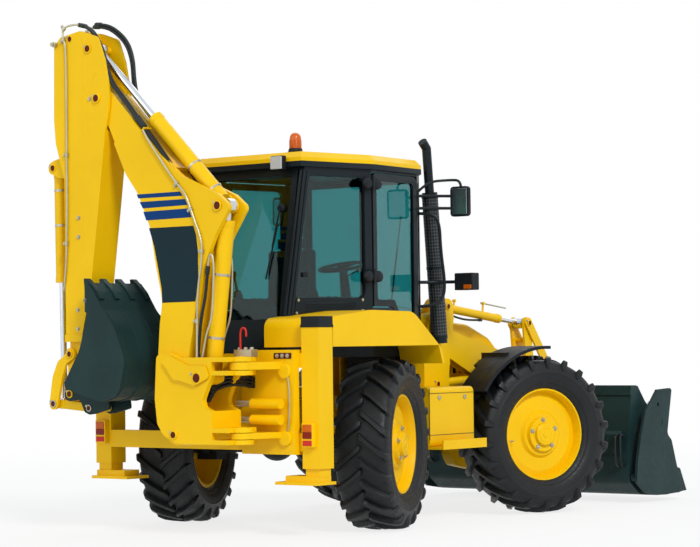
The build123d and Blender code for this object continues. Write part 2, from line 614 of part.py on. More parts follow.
def loader_bucket():
    """Rear half of the 4-in-1 bucket: blade, end plates, top beam, lugs and pins."""
    blade = plate(BLADE_SHAPE, (-BLADE_HALF, BLADE_HALF))
    end = plate(BLADE_END, (BLADE_HALF - 25, BLADE_HALF))
    beam = plate([(3480, 955), (BLADE_TOP[0] + 20, 955), (BLADE_TOP[0] + 70, 1042), (3490, 1042)],
                 (-BLADE_HALF, BLADE_HALF))
    spine = plate([(3434, 430), (3398, 450), (3398, 610), (3434, 640)], (-BLADE_HALF + 60, BLADE_HALF - 60))
    lugs = []
    for y in (LAYER_1, LAYER_1_IN):
        lug = join(plate(LUG_SHAPE_LOADER, y), disc(BUCKET_PIVOT, 68, y), disc(BUCKET_TOP, 56, y))
        lugs.append(lug - disc(BUCKET_PIVOT, LEVER_PIN_R + FIT, (y[0] - 1, y[1] + 1)))
    one = join(*lugs, disc(BUCKET_TOP, LOADER_PIN_R, (LAYER_1_IN[1] - 2, LAYER_1[0] + 2)), end,
               disc(CLAM_PIVOT, 30, (BLADE_HALF - 2, BUCKET_HALF - 3)),
               disc(CLAM_BASE, 18, (BLADE_HALF - 2, CLAM_LAYER[1] - 2)))
    return join(blade, beam, spine, both(one))


JAW_SIDE = (  # x, z, corner radius
    (3995, 1009, 40), (4010, 985), (3925, 600, 60), (4000, 541, 60), (4091, 290, 30), (4138, 283, 30),
    (4247, 78),
    (3895, 57), (3759, 61), (3542, 92), (3397, 196, 30), (3415, 362), (3476, 589), (3564, 815),
    (3672, 905), (3768, 999))
FLOOR_SHAPE = ((EDGE[0] + 6, 58), (3895, 57), (4150, 62), (4247, 78), (4247, 86), (4150, 96),
               (EDGE[0] + 6, 84))


def jaw():
    """Opening front half of the bucket: side plates, floor and its cutting edge."""
    side = plate(JAW_SIDE, (JAW_IN, BUCKET_HALF))
    side = side - disc(CLAM_PIVOT, 30 + FIT,
                       (JAW_IN - 1, BUCKET_HALF + 1)) - disc(CLAM_ROD, 18, (JAW_IN - 1, BUCKET_HALF + 1))
    floor = plate(FLOOR_SHAPE, (-JAW_IN - 2, JAW_IN + 2))
    rib = plate([(3790, 84), (3860, 84), (3835, 150), (3790, 150)], (-JAW_IN - 2, JAW_IN + 2))
    return join(floor, rib, both(side))


def clam_cylinders():
    """The pair of cylinders that open the jaw: barrels and rods."""
    mid = (CLAM_LAYER[0] + CLAM_LAYER[1]) / 2
    return ram(CLAM_BASE, CLAM_ROD, mid, CLAM_CYL_R - 6, 15, 432, ((-CLAM_EYE_HALF, CLAM_EYE_HALF),),
               (-CLAM_EYE_HALF, CLAM_EYE_HALF), 36, 18, 0.0, CLAM_IN)


def build_loader():
    """Writes the loader and its bucket."""
    write("loader_arms", loader_arms())
    write("bellcranks", bellcranks())
    write("tilt_links", tilt_links())
    write("bucket", loader_bucket())
    write("clam_jaw", jaw())
    for name, pair in (("lift", lift_cylinders()), ("tilt", tilt_cylinders()), ("clam", clam_cylinders())):
        write(f"{name}_barrels", both(pair[0]))
        write(f"{name}_rods", both(pair[1]))


# ---- cab --------------------------------------------------------------------------------------------
# plan of the cab's left half, x, y: windscreen corner, front pillar, door post, rear corner
CAB_FRONT = (1080.0, 590.0)
CAB_APOST = (900.0, 700.0)
CAB_BPOST = (180.0, CAB_HALF - 10)
CAB_REAR = (-700.0, 620.0)
REAR_LEAN = 215.0          # the rear wall leans forward this much from floor to eaves
DOOR_GAP = 6.0
RING_T = 20.0              # top frame over the doors


def cab_plan(grow=0.0):
    """The cab's outline in plan, as (x, y) points all round."""
    half = [(CAB_FRONT[0] + grow, CAB_FRONT[1] + grow / 2), (CAB_APOST[0] + grow / 2, CAB_APOST[1] + grow),
            (CAB_BPOST[0], CAB_BPOST[1] + grow), (CAB_REAR[0] - grow, CAB_REAR[1] + grow)]
    return half + [(x, -y) for x, y in reversed(half)]


def upright(points, z):
    """A prism from plan points."""
    face = Face(Wire.make_polygon([Vector(x, y, 0) for x, y in points], close=True))
    return Pos(0, 0, z[0]) * Solid.extrude(face, Vector(0, 0, z[1] - z[0]))


def wall(p, q, thick, z=(CAB_FLOOR - 10, CAB_EAVES + 10)):
    """A vertical slab from plan point p to q on the left side, its outer face on that line."""
    d = hypot(q[0] - p[0], q[1] - p[1])
    nx, ny = (q[1] - p[1]) / d * thick, -(q[0] - p[0]) / d * thick
    if ny > 0:
        nx, ny = -nx, -ny
    return upright([p, q, (q[0] + nx, q[1] + ny), (p[0] + nx, p[1] + ny)], z)


SIDE_Y = (300, 900)
QUARTER_SHAPE = ((CAB_REAR[0], CAB_FLOOR), (CAB_BPOST[0], CAB_FLOOR), (CAB_BPOST[0], CAB_EAVES),
                 (CAB_REAR[0] + REAR_LEAN, CAB_EAVES))
QUARTER_PANE = ((-600, 1800, 40), (110, 1800, 60), (110, 2745, 60), (-455, 2745, 60))
DOOR_X = (CAB_BPOST[0] + 24, CAB_APOST[0] - DOOR_GAP)
DOOR_Z = (CAB_FLOOR + 20, CAB_EAVES - RING_T - DOOR_GAP)
DOOR_STEP = (500.0, 705.0, 1735.0)     # the door's lower rear corner is cut away over the mudguard: x, x, z
DOOR_RAIL = 55.0
DOOR_SHAPE = ((DOOR_X[0], DOOR_STEP[2]), (DOOR_STEP[0], DOOR_STEP[2], 60), (DOOR_STEP[1], DOOR_Z[0], 60),
              (DOOR_X[1], DOOR_Z[0], 60), (DOOR_X[1], DOOR_Z[1], 50), (DOOR_X[0], DOOR_Z[1], 50))
DOOR_PANE = ((DOOR_X[0] + DOOR_RAIL, DOOR_STEP[2] + DOOR_RAIL, 30),
             (DOOR_STEP[0] + DOOR_RAIL / 2, DOOR_STEP[2] + DOOR_RAIL, 40),
             (DOOR_STEP[1] + DOOR_RAIL / 2, DOOR_Z[0] + DOOR_RAIL, 40),
             (DOOR_X[1] - DOOR_RAIL, DOOR_Z[0] + DOOR_RAIL, 40),
             (DOOR_X[1] - DOOR_RAIL, DOOR_Z[1] - DOOR_RAIL, 40),
             (DOOR_X[0] + DOOR_RAIL, DOOR_Z[1] - DOOR_RAIL, 40))
GLASS_T = 8.0
DOOR_T = 36.0
DOOR_HINGE = (160.0, 812.0)     # x, y of the hinge line


SILL_SHAPE = ((CAB_BPOST[0], CAB_FLOOR), (DOOR_STEP[1] - 20, CAB_FLOOR),
              (DOOR_STEP[1] - 20, DOOR_Z[0] - DOOR_GAP),
              (DOOR_STEP[0] - DOOR_GAP, DOOR_STEP[2] - DOOR_GAP, 60),
              (CAB_BPOST[0], DOOR_STEP[2] - DOOR_GAP))


def quarter_wall():
    """The slanted wall between the side and the rear of the cab."""
    slab = wall(CAB_BPOST, CAB_REAR, CAB_WALL)
    return slab & (plate(QUARTER_SHAPE, SIDE_Y) - plate(QUARTER_PANE, SIDE_Y))


def lean(x, z):
    """Where the leaning rear wall's outer face is at height z, offset by x."""
    return CAB_REAR[0] + x + REAR_LEAN * (z - CAB_FLOOR) / (CAB_EAVES - CAB_FLOOR)


def rear_wall(x0, x1, y, z):
    """A slab along the cab's leaning rear face."""
    return plate([(lean(x0, z[0]), z[0]), (lean(x1, z[0]), z[0]), (lean(x1, z[1]), z[1]),
                  (lean(x0, z[1]), z[1])], y)


def cab_frame():
    """Floor, posts and rails of the cab, open where the glass and the doors are."""
    floor = upright(cab_plan(), (CAB_FLOOR - 60, CAB_FLOOR))
    ring = upright(cab_plan(), (CAB_EAVES - RING_T,
                                CAB_EAVES)) - upright([(x * 0.9 + 5, y * 0.9) for x, y in cab_plan()],
                                                                     (CAB_EAVES - RING_T - 1, CAB_EAVES + 1))
    ring = ring & plate([(lean(0, 1400), 1400), (1200, 1400), (1200, 2900), (lean(0, 2900), 2900)],
                        (-900, 900))
    rear_y = CAB_REAR[1] - CAB_WALL / 2
    rear = rear_wall(0, 45, (-rear_y, rear_y),
                     (CAB_FLOOR, CAB_EAVES)) - rear_wall(-9, 60, (-rear_y + 60, rear_y - 60),
                                                                                 (1640, CAB_EAVES - 70))
    front_x = (CAB_FRONT[0] - 40, CAB_FRONT[0])
    front = block(front_x, (-CAB_FRONT[1], CAB_FRONT[1]), (CAB_FLOOR, CAB_EAVES)) - block(
        (front_x[0] - 1, front_x[1] + 1), (-CAB_FRONT[1] + 40, CAB_FRONT[1] - 40), (1690, CAB_EAVES - 60))
    corner = wall(CAB_FRONT, CAB_APOST, 50, (CAB_FLOOR, CAB_EAVES)) - block(
        (CAB_APOST[0] + 50, CAB_FRONT[0] - 50), SIDE_Y, (CAB_FLOOR + 260, CAB_EAVES - 60))
    corner = corner & block((CAB_APOST[0], CAB_FRONT[0]), SIDE_Y, (CAB_FLOOR, CAB_EAVES))
    sill = wall(CAB_BPOST, CAB_APOST, DOOR_T) & plate(SILL_SHAPE, SIDE_Y)
    post_b = wall(CAB_BPOST, CAB_REAR, 60,
                  (CAB_FLOOR, CAB_EAVES)) & block((CAB_BPOST[0] - 65, 300), SIDE_Y, (1300, 2900))
    pins = [post(*DOOR_HINGE, 8, (z, z + 70)) for z in HINGE_Z]
    ears = [block((DOOR_HINGE[0] - 14, DOOR_HINGE[0] + 14), (CAB_BPOST[1] - 30, DOOR_HINGE[1] + 12),
                  (z - 14, z)) for z in HINGE_Z]
    side = both(join(quarter_wall(), corner, sill, post_b, *pins, *ears))
    return join(floor, ring, rear, front, side, hood_bracket(), *cab_mounts())


HINGE_Z = (1960.0, 2680.0)


def cab_mounts():
    """Feet from the cab's floor to the chassis rails."""
    return [block((x, x + 90), y, (RAIL_TOP, CAB_FLOOR - 50)) for x in (-420, 900)
            for y in ((RAIL_IN, RAIL_OUT), (-RAIL_OUT, -RAIL_IN))]


def door():
    """Door frame in the left side's wall, with its hinge knuckles."""
    slab = wall((CAB_BPOST[0], CAB_BPOST[1]), CAB_APOST, DOOR_T)
    frame = slab & (plate(DOOR_SHAPE, SIDE_Y) - plate(DOOR_PANE, SIDE_Y))
    leaf = []
    for z in HINGE_Z:
        arm = upright([(DOOR_HINGE[0], DOOR_HINGE[1] - 12), (DOOR_X[0] + 40, 776), (DOOR_X[0] + 40, 796),
                       (DOOR_HINGE[0], DOOR_HINGE[1] + 12)], (z + 4, z + 60))
        leaf.append(join(arm, post(*DOOR_HINGE, 16, (z + 4, z + 60)))
                    - post(*DOOR_HINGE, 8 + FIT, (z, z + 80)))
    return join(frame, *leaf)


def pane_slab(p, q, depth, thick, shape):
    """A pane set back by depth from the outer face of the wall from p to q."""
    back = wall(p, q, depth + thick)
    return (back - wall(p, q, depth)) & plate(shape, SIDE_Y)


def cab_glass():
    """The fixed panes."""
    rear_y = CAB_REAR[1] - CAB_WALL / 2 - 60
    front = block((CAB_FRONT[0] - 24, CAB_FRONT[0] - 24 + GLASS_T),
                  (-CAB_FRONT[1] + 40, CAB_FRONT[1] - 40), (1690, CAB_EAVES - 60))
    rear = rear_wall(20, 20 + GLASS_T, (-rear_y, rear_y), (1640, CAB_EAVES - 70))
    return join(front, rear, both(pane_slab(CAB_BPOST, CAB_REAR, 20, GLASS_T, QUARTER_PANE)))


def cab_roof():
    """Roof panel over the eaves, chamfered round its top."""
    plan = [(1100, 560), (930, 722), (180, 815), (-540, 670)]
    plan = plan + [(x, -y) for x, y in reversed(plan)]
    slab = upright(plan, (CAB_EAVES, ROOF_TOP))
    return chamfer(slab.faces().sort_by(Axis.Z)[-1].edges(), 45)


def cab_interior():
    """Seat, steering column and wheel, and the two lever consoles."""
    seat = join(block((120, 560), (-240, 240), (1640, 1760)), block((90, 210), (-230, 230), (1755, 2300)),
                block((180, 480), (-170, 170), (CAB_FLOOR, 1645)))
    column = join(bar((890, 0, CAB_FLOOR + 40), (798, 0, 2076), 40),
                  Pos(792, 0, 2080) * Rot(0, -12, 0) * Torus(190, 16),
                  bar((800, -190, 2078), (800, 190, 2078), 14),
                  block((860, 1010), (-230, 230), (CAB_FLOOR, 1650)))
    console = both(block((-120, 560), (330, 460), (CAB_FLOOR, 1820)))
    levers = both(join(bar((-60, 390, 1815), (-120, 390, 2010), 12), Pos(-120, 390, 2020) * Sphere(26)))
    return join(seat, column, console, levers)


FENDER_OUT = 1150.0
FENDER_SHEET = 25.0


def rear_fenders():
    """Shell mudguards over the rear wheels, closed against the cab."""
    outer = plate([(-870, 1425), (-870, 1640, 80), (-300, 1700, 300), (230, 1690, 200), (600, 1400, 90),
                   (640, 1280),
                   (610, 1280), (560, 1425)], (560, FENDER_OUT))
    inner = plate([(-845, 1400), (-845, 1622, 60), (-300, 1673, 290), (222, 1664, 180), (572, 1390, 80),
                   (612, 1270),
                   (500, 1200)], (500, FENDER_OUT - FENDER_SHEET))
    leg_room = block((LEG_X[0] - 10, LEG_X[1] + 8), (LEG_Y[0] - 8, LEG_OUT + 10), (1200, 1800))
    return both(outer - inner - upright(cab_plan(), (1200, 1800)) - leg_room)


def mirrors():
    """The two mirrors with their arms."""
    head = fillet(block((1140, 1175), (860, 1040), (2470, 2715)).edges().filter_by(Axis.X), 30)
    arms = [bar((910, 672, z), (1158, 870, z), 12) for z in (2640, 2540)]
    return both(join(head, *arms) - upright(cab_plan(), (CAB_FLOOR, CAB_EAVES)))


LAMP_Y = (985.0 + 25, 985.0 + 135)


def lamps():
    """Beacon, roof lamps, side lamp boxes and tail lamps."""
    beacon = join(post(-400, -500, 30, (ROOF_TOP, 2975)), post(-400, -500, 55, (2960, 3095)))
    roof = [join(block((-600, -555), (y - 62, y + 62), (2790, 2900)),
                 block((-560, -540), (y - 20, y + 20), (2830, 2870)))
            for y in (-470, 470)]
    front = [block((1100, 1150), (y - 62, y + 62), (2800, 2882)) for y in (-420, 420)]
    side = [join(block((1180, 1290), (y - 100, y + 100), (1870, 2010)),
                 bar((1060, y * 0.63, 1940), (1200, y * 0.92, 1940), 14))
            - upright(cab_plan(), (CAB_FLOOR, CAB_EAVES)) for y in (-950, 950)]
    tail = both(block((-990, FRAME_REAR), LAMP_Y, (690, 850)))
    return join(beacon, *roof, *front, *side, tail)


def build_cab():
    """Writes the cab and what is fixed to it."""
    panel = door()
    glass = pane_slab(CAB_BPOST, CAB_APOST, 14, GLASS_T, DOOR_PANE)
    write("cab_frame", cab_frame())
    write("cab_glass", cab_glass())
    write("cab_roof", cab_roof())
    write("cab_interior", cab_interior())
    write("door_left", panel)
    write("door_right", mirror(panel, about=Plane.XZ))
    write("door_glass_left", glass)
    write("door_glass_right", mirror(glass, about=Plane.XZ))
    write("rear_fenders", rear_fenders())
    write("mirrors", mirrors())
    write("lamps", lamps())


# ---- rear frame, stabilisers, carriage --------------------------------------------------------------
SLIDE = 0.5                # clearance of sliding guides
RAIL_X = (FRAME_REAR, FRAME_REAR + FRAME_DEPTH)
LEG_Y = (LEG_OUT - LEG_SIZE, LEG_OUT)
LEG_X = (FRAME_REAR, FRAME_REAR + LEG_SIZE)
CARRIAGE_HALF = 260.0
PLATE_BACK = 55.0
EAR_Z = ((1262.0, 1318.0), (750.0, 795.0))     # carriage ears, upper and lower
SWING_PIN_R = 40.0
EAR_INSET = 110.0          # carriage ears start this far in from the carriage's edges


def rear_frame():
    """Two rails across the back that carry the backhoe, their uprights and the stabilisers' tubes."""
    rails = [block(RAIL_X, (-LEG_Y[0] - 5, LEG_Y[0] + 5), z) for z in (TOP_RAIL, LOW_RAIL)]
    upright_plates = block(RAIL_X, (RAIL_IN - 10, RAIL_OUT + 10), (LOW_RAIL[1] - 2, TOP_RAIL[0] + 2))
    outer = block(LEG_X, LEG_Y, (LEG_BOTTOM, LEG_TOP))
    cap = block((LEG_X[0] + 5, LEG_X[1] - 5), (LEG_Y[0] + 5, LEG_Y[1] - 5), (LEG_TOP - 2, LEG_TOP + 70))
    bore = block((LEG_X[0] + LEG_WALL, LEG_X[1] - LEG_WALL), (LEG_Y[0] + LEG_WALL, LEG_Y[1] - LEG_WALL),
                 (LEG_BOTTOM - 1, LEG_TOP - 10))
    return join(*rails, both(join(upright_plates, join(outer, cap) - bore)))


def stabiliser():
    """The left stabiliser: inner tube and its pad."""
    gap = LEG_WALL + SLIDE
    leg = block((LEG_X[0] + gap, LEG_X[1] - gap), (LEG_Y[0] + gap, LEG_Y[1] - gap), (PAD_BOTTOM + 60, 1100))
    foot = block((-1000, -755), (760, LEG_OUT), (PAD_BOTTOM, PAD_BOTTOM + 22))
    foot = join(foot, block((-960, -790), (830, LEG_OUT - 20), (PAD_BOTTOM + 20, PAD_BOTTOM + 66)))
    return join(leg, foot)


def carriage():
    """Side-shift carriage: clamp plate that hooks over both rails, and the ears with the swing pins."""
    back = (FRAME_REAR - SLIDE - PLATE_BACK, FRAME_REAR - SLIDE)
    y = (HOE_Y - CARRIAGE_HALF, HOE_Y + CARRIAGE_HALF)
    lip_x = (RAIL_X[1] + SLIDE, RAIL_X[1] + SLIDE + 20)
    body = join(
        block(back, y, (LOW_RAIL[0] - 25, TOP_RAIL[1] + 20)),
        block((back[0], lip_x[1]), y, (TOP_RAIL[1] + SLIDE, TOP_RAIL[1] + 25)),
        block(lip_x, y, (TOP_RAIL[1] - 45, TOP_RAIL[1] + 25)),
        block((back[0], lip_x[1]), y, (LOW_RAIL[0] - 25, LOW_RAIL[0] - SLIDE)),
        block(lip_x, y, (LOW_RAIL[0] - 25, LOW_RAIL[0] + 40)),
    )
    for z in EAR_Z:
        ear = upright([(back[0] + 5, y[0] + EAR_INSET), (back[0] + 5, y[1] - EAR_INSET),
                       (HOE_X, HOE_Y + 85), (HOE_X, HOE_Y - 85)], z)
        body = join(body, ear, post(HOE_X, HOE_Y, 85, z))
    for z in PIN_SPAN:
        body = join(body, post(HOE_X, HOE_Y, SWING_PIN_R, z))
    return body


KP_PLATE = 34.0            # kingpost's swing plates, above and below each ear
PIN_SPAN = tuple((low - SIDE_GAP - KP_PLATE - 4, high + SIDE_GAP + KP_PLATE + 4) for low, high in EAR_Z)


def swing_cylinders():
    """The pair of swing cylinders that lie across the carriage, drawn at rest."""
    x, z = -1075.0, 886.0
    body = join(bar((x, HOE_Y - 190, z), (x, HOE_Y + 90, z), 38),
                bar((x, HOE_Y + 90, z), (x, HOE_Y + 240, z), 20),
                block((x + 20, FRAME_REAR - SLIDE - PLATE_BACK), (HOE_Y - 150, HOE_Y + 40),
                      (z - 20, z + 20)))
    return join(body, Pos(0, 0, 120) * body)


def build_rear():
    """Writes the rear frame, the stabilisers and the carriage."""
    leg = stabiliser()
    write("rear_frame", rear_frame())
    write("stabiliser_left", leg)
    write("stabiliser_right", mirror(leg, about=Plane.XZ))
    write("carriage", carriage())
    write("swing_cylinders", swing_cylinders())


# ---- backhoe, drawn in its own frame: u outward, w across, z up --------------------------------------
KP_SHAPE = (  # u, z, corner radius
    (702, 1379, 40), (722, 1049, 60), (699, 861, 60), (642, 779, 50), (515, 712, 50), (150, 712),
    (150, 960, 20),
    (262, 1000, 60), (200, 1130, 60), (150, 1215), (150, 1357), (462, 1357, 30), (560, 1390, 30))
LOCK_SHAPE = (  # boom lock plate
    (631, 1327, 20), (511, 1188, 30), (450, 1185, 20), (300, 1148, 40), (161, 1207, 25), (199, 1295, 25),
    (368, 1296, 30),
    (560, 1375, 30))


def kingpost():
    """Two side plates, the swing plates above and below each carriage ear, and the boom's pins."""
    ears = [plate(KP_SHAPE, y) for y in (KP_EAR, (-KP_EAR[1], -KP_EAR[0]))]
    plates = []
    for low, high in EAR_Z:
        for z in ((low - SIDE_GAP - KP_PLATE, low - SIDE_GAP),
                  (high + SIDE_GAP, high + SIDE_GAP + KP_PLATE)):
            swing = join(block((0, 185), (-KP_EAR[1], KP_EAR[1]), z), post(0, 0, 90, z))
            plates.append(swing - post(0, 0, SWING_PIN_R + FIT, (z[0] - 1, z[1] + 1)))
    web = block((150, 178), (-KP_EAR[1], KP_EAR[1]), (EAR_Z[1][1] + SIDE_GAP, 960))
    lock = join(plate(LOCK_SHAPE, (KP_EAR[1] + 6, KP_EAR[1] + 20)),
                *[disc(p, 22, (KP_EAR[1] - 2, KP_EAR[1] + 8))
                                                                   for p in ((330, 1240), (560, 1300))])
    pins = [disc(FOOT, 35, (-KP_EAR[1] - 8, KP_EAR[1] + 8)),
            disc(BOOM_BASE, 32, (-KP_EAR[1] - 8, KP_EAR[1] + 4))]
    return join(*ears, *plates, web, lock, *pins)


BOOM_SHAPE = (  # u, z, corner radius: outer edge down to the foot, then up the inner edge
    (1300, 3240), (1231, 3129, 60), (1050, 2765, 300), (921, 2605, 300), (797, 2341, 300),
    (744, 2059, 300), (679, 1786, 300),
    (708, 1613, 200), (728, 1379, 200), (698, 1047, 100), (626, 700, 90), (452, 700, 70), (432, 1080, 200),
    (426, 1295, 200),
    (404, 1437, 300), (329, 1763, 300), (259, 2030, 300), (145, 2256, 200), (-8, 2472, 40),
    (109, 2566, 60), (473, 2718, 300),
    (699, 2901, 300), (1210, 3405))
BOOM_SLOT = ((-60, 2020), (240, 2020), (252, 2350, 40), (330, 2560, 60), (600, 2760), (420, 2900),
             (-100, 2700))
BOOM_NOSE_R = 396.0        # within this of the arm's pivot the boom is narrower
NOSE_HALF = 100.0
CHEEK = (105.0, 125.0)     # the arm's side plates
SLOT_HALF = 75.0
FORK = (42.0, 68.0)        # eyes of a forked base
MID_EYE = 35.0
HOE_CYL_R = 62.0


def boom():
    """The bent boom with its slot for the arm cylinder."""
    body = join(plate(BOOM_SHAPE, (-BOOM_HALF, BOOM_HALF)), disc(ARM_PIVOT, 118, (-NOSE_HALF, NOSE_HALF)),
                disc(FOOT, 85, (-BOOM_HALF, BOOM_HALF)))
    for y in ((NOSE_HALF, BOOM_HALF + 20), (-BOOM_HALF - 20, -NOSE_HALF)):
        body = body - disc(ARM_PIVOT, BOOM_NOSE_R, y)
    body = body - plate(BOOM_SLOT,
                        (-SLOT_HALF, SLOT_HALF)) - disc(ARM_PIVOT, 38 + FIT,
                                                        (-200, 200)) - disc(FOOT, 35 + FIT, (-200, 200))
    return join(body, pin_ends(ELBOW, HOE_PIN_R, ((FORK[0], BOOM_HALF + 10), (-BOOM_HALF - 10, -FORK[0]))))


def boom_cylinder():
    """The cylinder between kingpost and elbow."""
    return ram(BOOM_BASE, ELBOW, 0, HOE_CYL_R, 32, 1180, ((-60, 60),), (-MID_EYE, MID_EYE), 60, 32, 860.0,
               6.0)


def arm_cylinder():
    """The cylinder between elbow and the arm's head."""
    return ram(ELBOW, ARM_ROD, 0, HOE_CYL_R - 4, 30, 1015, (FORK, (-FORK[1], -FORK[0])), (-50, 50), 50,
               HOE_PIN_R,
               10.0, 680.0, neck=72.0)


HOE_ARM_SHAPE = (  # u, z, corner radius: outer edge down, then up the inner edge
    (1732, 3869, 30), (1799, 3804, 40), (1807, 3230, 200), (1790, 3040, 100), (1700, 2760, 200),
    (1695, 1538), (1521, 1533),
    (1419, 1917, 300), (1324, 2578, 300), (1252, 3115, 100), (1218, 3267, 60), (1206, 3382, 60),
    (1216, 3460, 60),
    (1256, 3656, 100), (1328, 3841, 60), (1512, 3904, 60))
SLIDE_LEAN = 0.02          # the telescope slides outward this much for each unit down
INNER_U = (1530.0, 1680.0) # inner arm at INNER_FOOT
INNER_FOOT = 1490.0
INNER_TOP = 2960.0
WEAR_GAP = 5.0


def sliding(u0, u1, low, high, w):
    """A straight-sided piece that follows the telescope's direction."""
    def at(u, z):
        return (u - (z - INNER_FOOT) * SLIDE_LEAN, z)
    return plate([at(u0, low), at(u1, low), at(u1, high), at(u0, high)], w)


def hoe_arm():
    """Outer arm: side plates round the boom's nose, closed box below with the telescope's channel."""
    half = CHEEK[1]
    body = plate(HOE_ARM_SHAPE, (-half, half))
    collar = sliding(INNER_U[0] - 20, INNER_U[1] + 20, 1486, 1542, (-half - 8, half + 8))
    body = body - plate([(1000, 3000), (1200, 3030), (1340, 3222), (1490, 3222), (1520, 3400),
                         (1520, 4000), (1000, 4000)],
                        (-CHEEK[0], CHEEK[0]))
    body = body - sliding(INNER_U[0] - WEAR_GAP, INNER_U[1] + WEAR_GAP, 1400, 3010,
                          (-INNER_HALF - WEAR_GAP, INNER_HALF + WEAR_GAP))
    body = join(body, collar - sliding(INNER_U[0] - SLIDE, INNER_U[1] + SLIDE, 1400, 1600,
                                       (-INNER_HALF - SLIDE, INNER_HALF + SLIDE)))
    body = body - plate([(1640, 1740), (1900, 1740), (1900, 3000), (1640, 3000)],
                        (-INNER_HALF - WEAR_GAP, INNER_HALF + WEAR_GAP))
    body = join(body, disc(ARM_PIVOT, 38, (-half - 10, half + 10)),
                pin_ends(ARM_ROD, HOE_PIN_R, ((55, half + 6), (-half - 6, -55))))
    return body


def arm_inner():
    """Sliding inner arm with the bucket cylinder's lugs and the linkage's pins."""
    body = sliding(*INNER_U, 1300, INNER_TOP, (-INNER_HALF, INNER_HALF))
    nose = plate([(1536, 1320), (1608, 1070), (1706, 1075), (1706, 1395, 30), (1684, 1430), (1536, 1430)],
                 (-INNER_HALF, INNER_HALF))
    body = join(body, nose, disc(NOSE, 42, (-INNER_HALF, INNER_HALF)))
    body = join(body, disc(NOSE, 32, (-CHEEK[1] - 6, CHEEK[1] + 6)),
                disc(LEVER_TOP, 28, (-CHEEK[1] - 4, CHEEK[1] + 4)))
    lug = plate([(1600, 2640), (1660, 2766), (1800, 2772, 40), (1867, 2800), (1867, 2912),
                 (1800, 2925, 30), (1600, 2935)], (45, 80))
    lug = join(lug, disc(HOE_CYL_BASE, 52, (45, 80)))
    mirrored = mirror(lug, about=Plane.XZ)
    return join(body, lug, mirrored, disc(HOE_CYL_BASE, HOE_PIN_R - 4, (-84, 84)))


BUCKET_SHAPE = (  # u, z, corner radius: cutting lip, mouth, then round the back
    (1317, 1920), (1317, 1716), (1292, 1698), (1377, 1424, 300), (1547, 1167), (1529, 1125, 15),
    (1393, 1087, 60),
    (1173, 1027, 100), (1036, 1058, 90), (955, 1134, 90), (899, 1341, 200), (1009, 1595, 300),
    (1128, 1725, 200), (1225, 1866),
    (1290, 1935))
BUCKET_ROOM = (
    (1322, 1945), (1268, 1865), (1152, 1706, 190), (1033, 1580, 290), (925, 1341, 180), (977, 1148, 70),
    (1046, 1084, 70),
    (1173, 1053, 80), (1388, 1113, 40), (1500, 1146), (1700, 1160), (1700, 1990))
BUCKET_LUG = (
    (1245, 1040), (1400, 1095), (1535, 1140), (1659, 1137), (1659, 1025), (1553, 1040, 40),
    (1500, 940, 40), (1451, 922),
    (1395, 928, 40), (1235, 965, 20))


def hoe_bucket():
    """The digging bucket with its teeth and ears."""
    half = HOE_BUCKET_HALF
    shell = plate(BUCKET_SHAPE, (-half, half)) - plate(BUCKET_ROOM, (-half + 18, half - 18))
    teeth = [plate([(1280, 1850), (1330, 1890), (1338, 1968), (1324, 1968), (1262, 1912)], (w - 32, w + 32))
             for w in (-255, -85, 85, 255)]
    lugs = []
    for y in ((100, CHEEK[1]), (-CHEEK[1], -100)):
        lug = join(plate(BUCKET_LUG, y), disc(NOSE, 56, y)) - disc(NOSE, 32 + FIT, (y[0] - 1, y[1] + 1))
        lugs.append(lug)
    stubs = pin_ends(HOE_LINK, 26, ((95, CHEEK[1] + 4), (-CHEEK[1] - 4, -95)))
    return join(shell, *teeth, *lugs, stubs)


LEVER_W = (100.0, 122.0)
LEVER_CURVE = ((1665, 1438), (1622, 1360), (1700, 1318, 60), (1752, 1200, 120), (1798, 1000), (1888, 1010),
               (1852, 1215, 150),
               (1792, 1338, 60), (1735, 1370, 30))


def tipping_levers():
    """The pair of levers that tip the digging bucket."""
    plates = []
    for y in (LEVER_W, (-LEVER_W[1], -LEVER_W[0])):
        lever = join(plate(LEVER_CURVE, y), disc(LEVER_TOP, 47, y), disc(LEVER_END, 46, y))
        plates.append(lever - disc(LEVER_TOP, 28 + FIT, (y[0] - 1, y[1] + 1)))
    return join(*plates, pin_ends(LEVER_END, 28, ((FORK[0], LEVER_W[1] + 4), (-LEVER_W[1] - 4, -FORK[0]))))


def bucket_link():
    """Forked link from the levers to the bucket."""
    body = strap(LEVER_END, HOE_LINK, 34, 32, (-90, 90))
    body = body - block((LEVER_END[0] - 90, LEVER_END[0] + 100), (-FORK[0], FORK[0]), (850, 1150))
    return body - disc(LEVER_END, 28 + FIT, (-100, 100)) - disc(HOE_LINK, 26 + FIT, (-100, 100))


def bucket_cylinder():
    """The cylinder along the arm's back."""
    return ram(HOE_CYL_BASE, LEVER_END, 0, 50, 25, 900, ((-40, 40),), (-MID_EYE, MID_EYE), 44,
               HOE_PIN_R - 4, 0.0, 515.0,
               neck=68.0)


def build_backhoe():
    """Writes the backhoe, turned into the part's frame."""
    for name, piece in (("kingpost", kingpost()), ("boom", boom()), ("hoe_arm", hoe_arm()),
                        ("arm_inner", arm_inner()),
                        ("hoe_bucket", hoe_bucket()), ("tipping_levers", tipping_levers()),
                        ("bucket_link", bucket_link())):
        write(name, hoe(piece))
    for name, pair in (("boom", boom_cylinder()), ("arm", arm_cylinder()), ("bucket", bucket_cylinder())):
        write(f"{name}_barrel", hoe(pair[0]))
        write(f"{name}_rod", hoe(pair[1]))


build_wheels()
for node, shape in (("main_frame", main_frame()), ("engine", engine()), ("hood", hood()),
                    ("exhaust", exhaust()),
                    ("side_boxes", side_boxes())):
    write(node, shape)
build_loader()
build_cab()
build_rear()
build_backhoe()
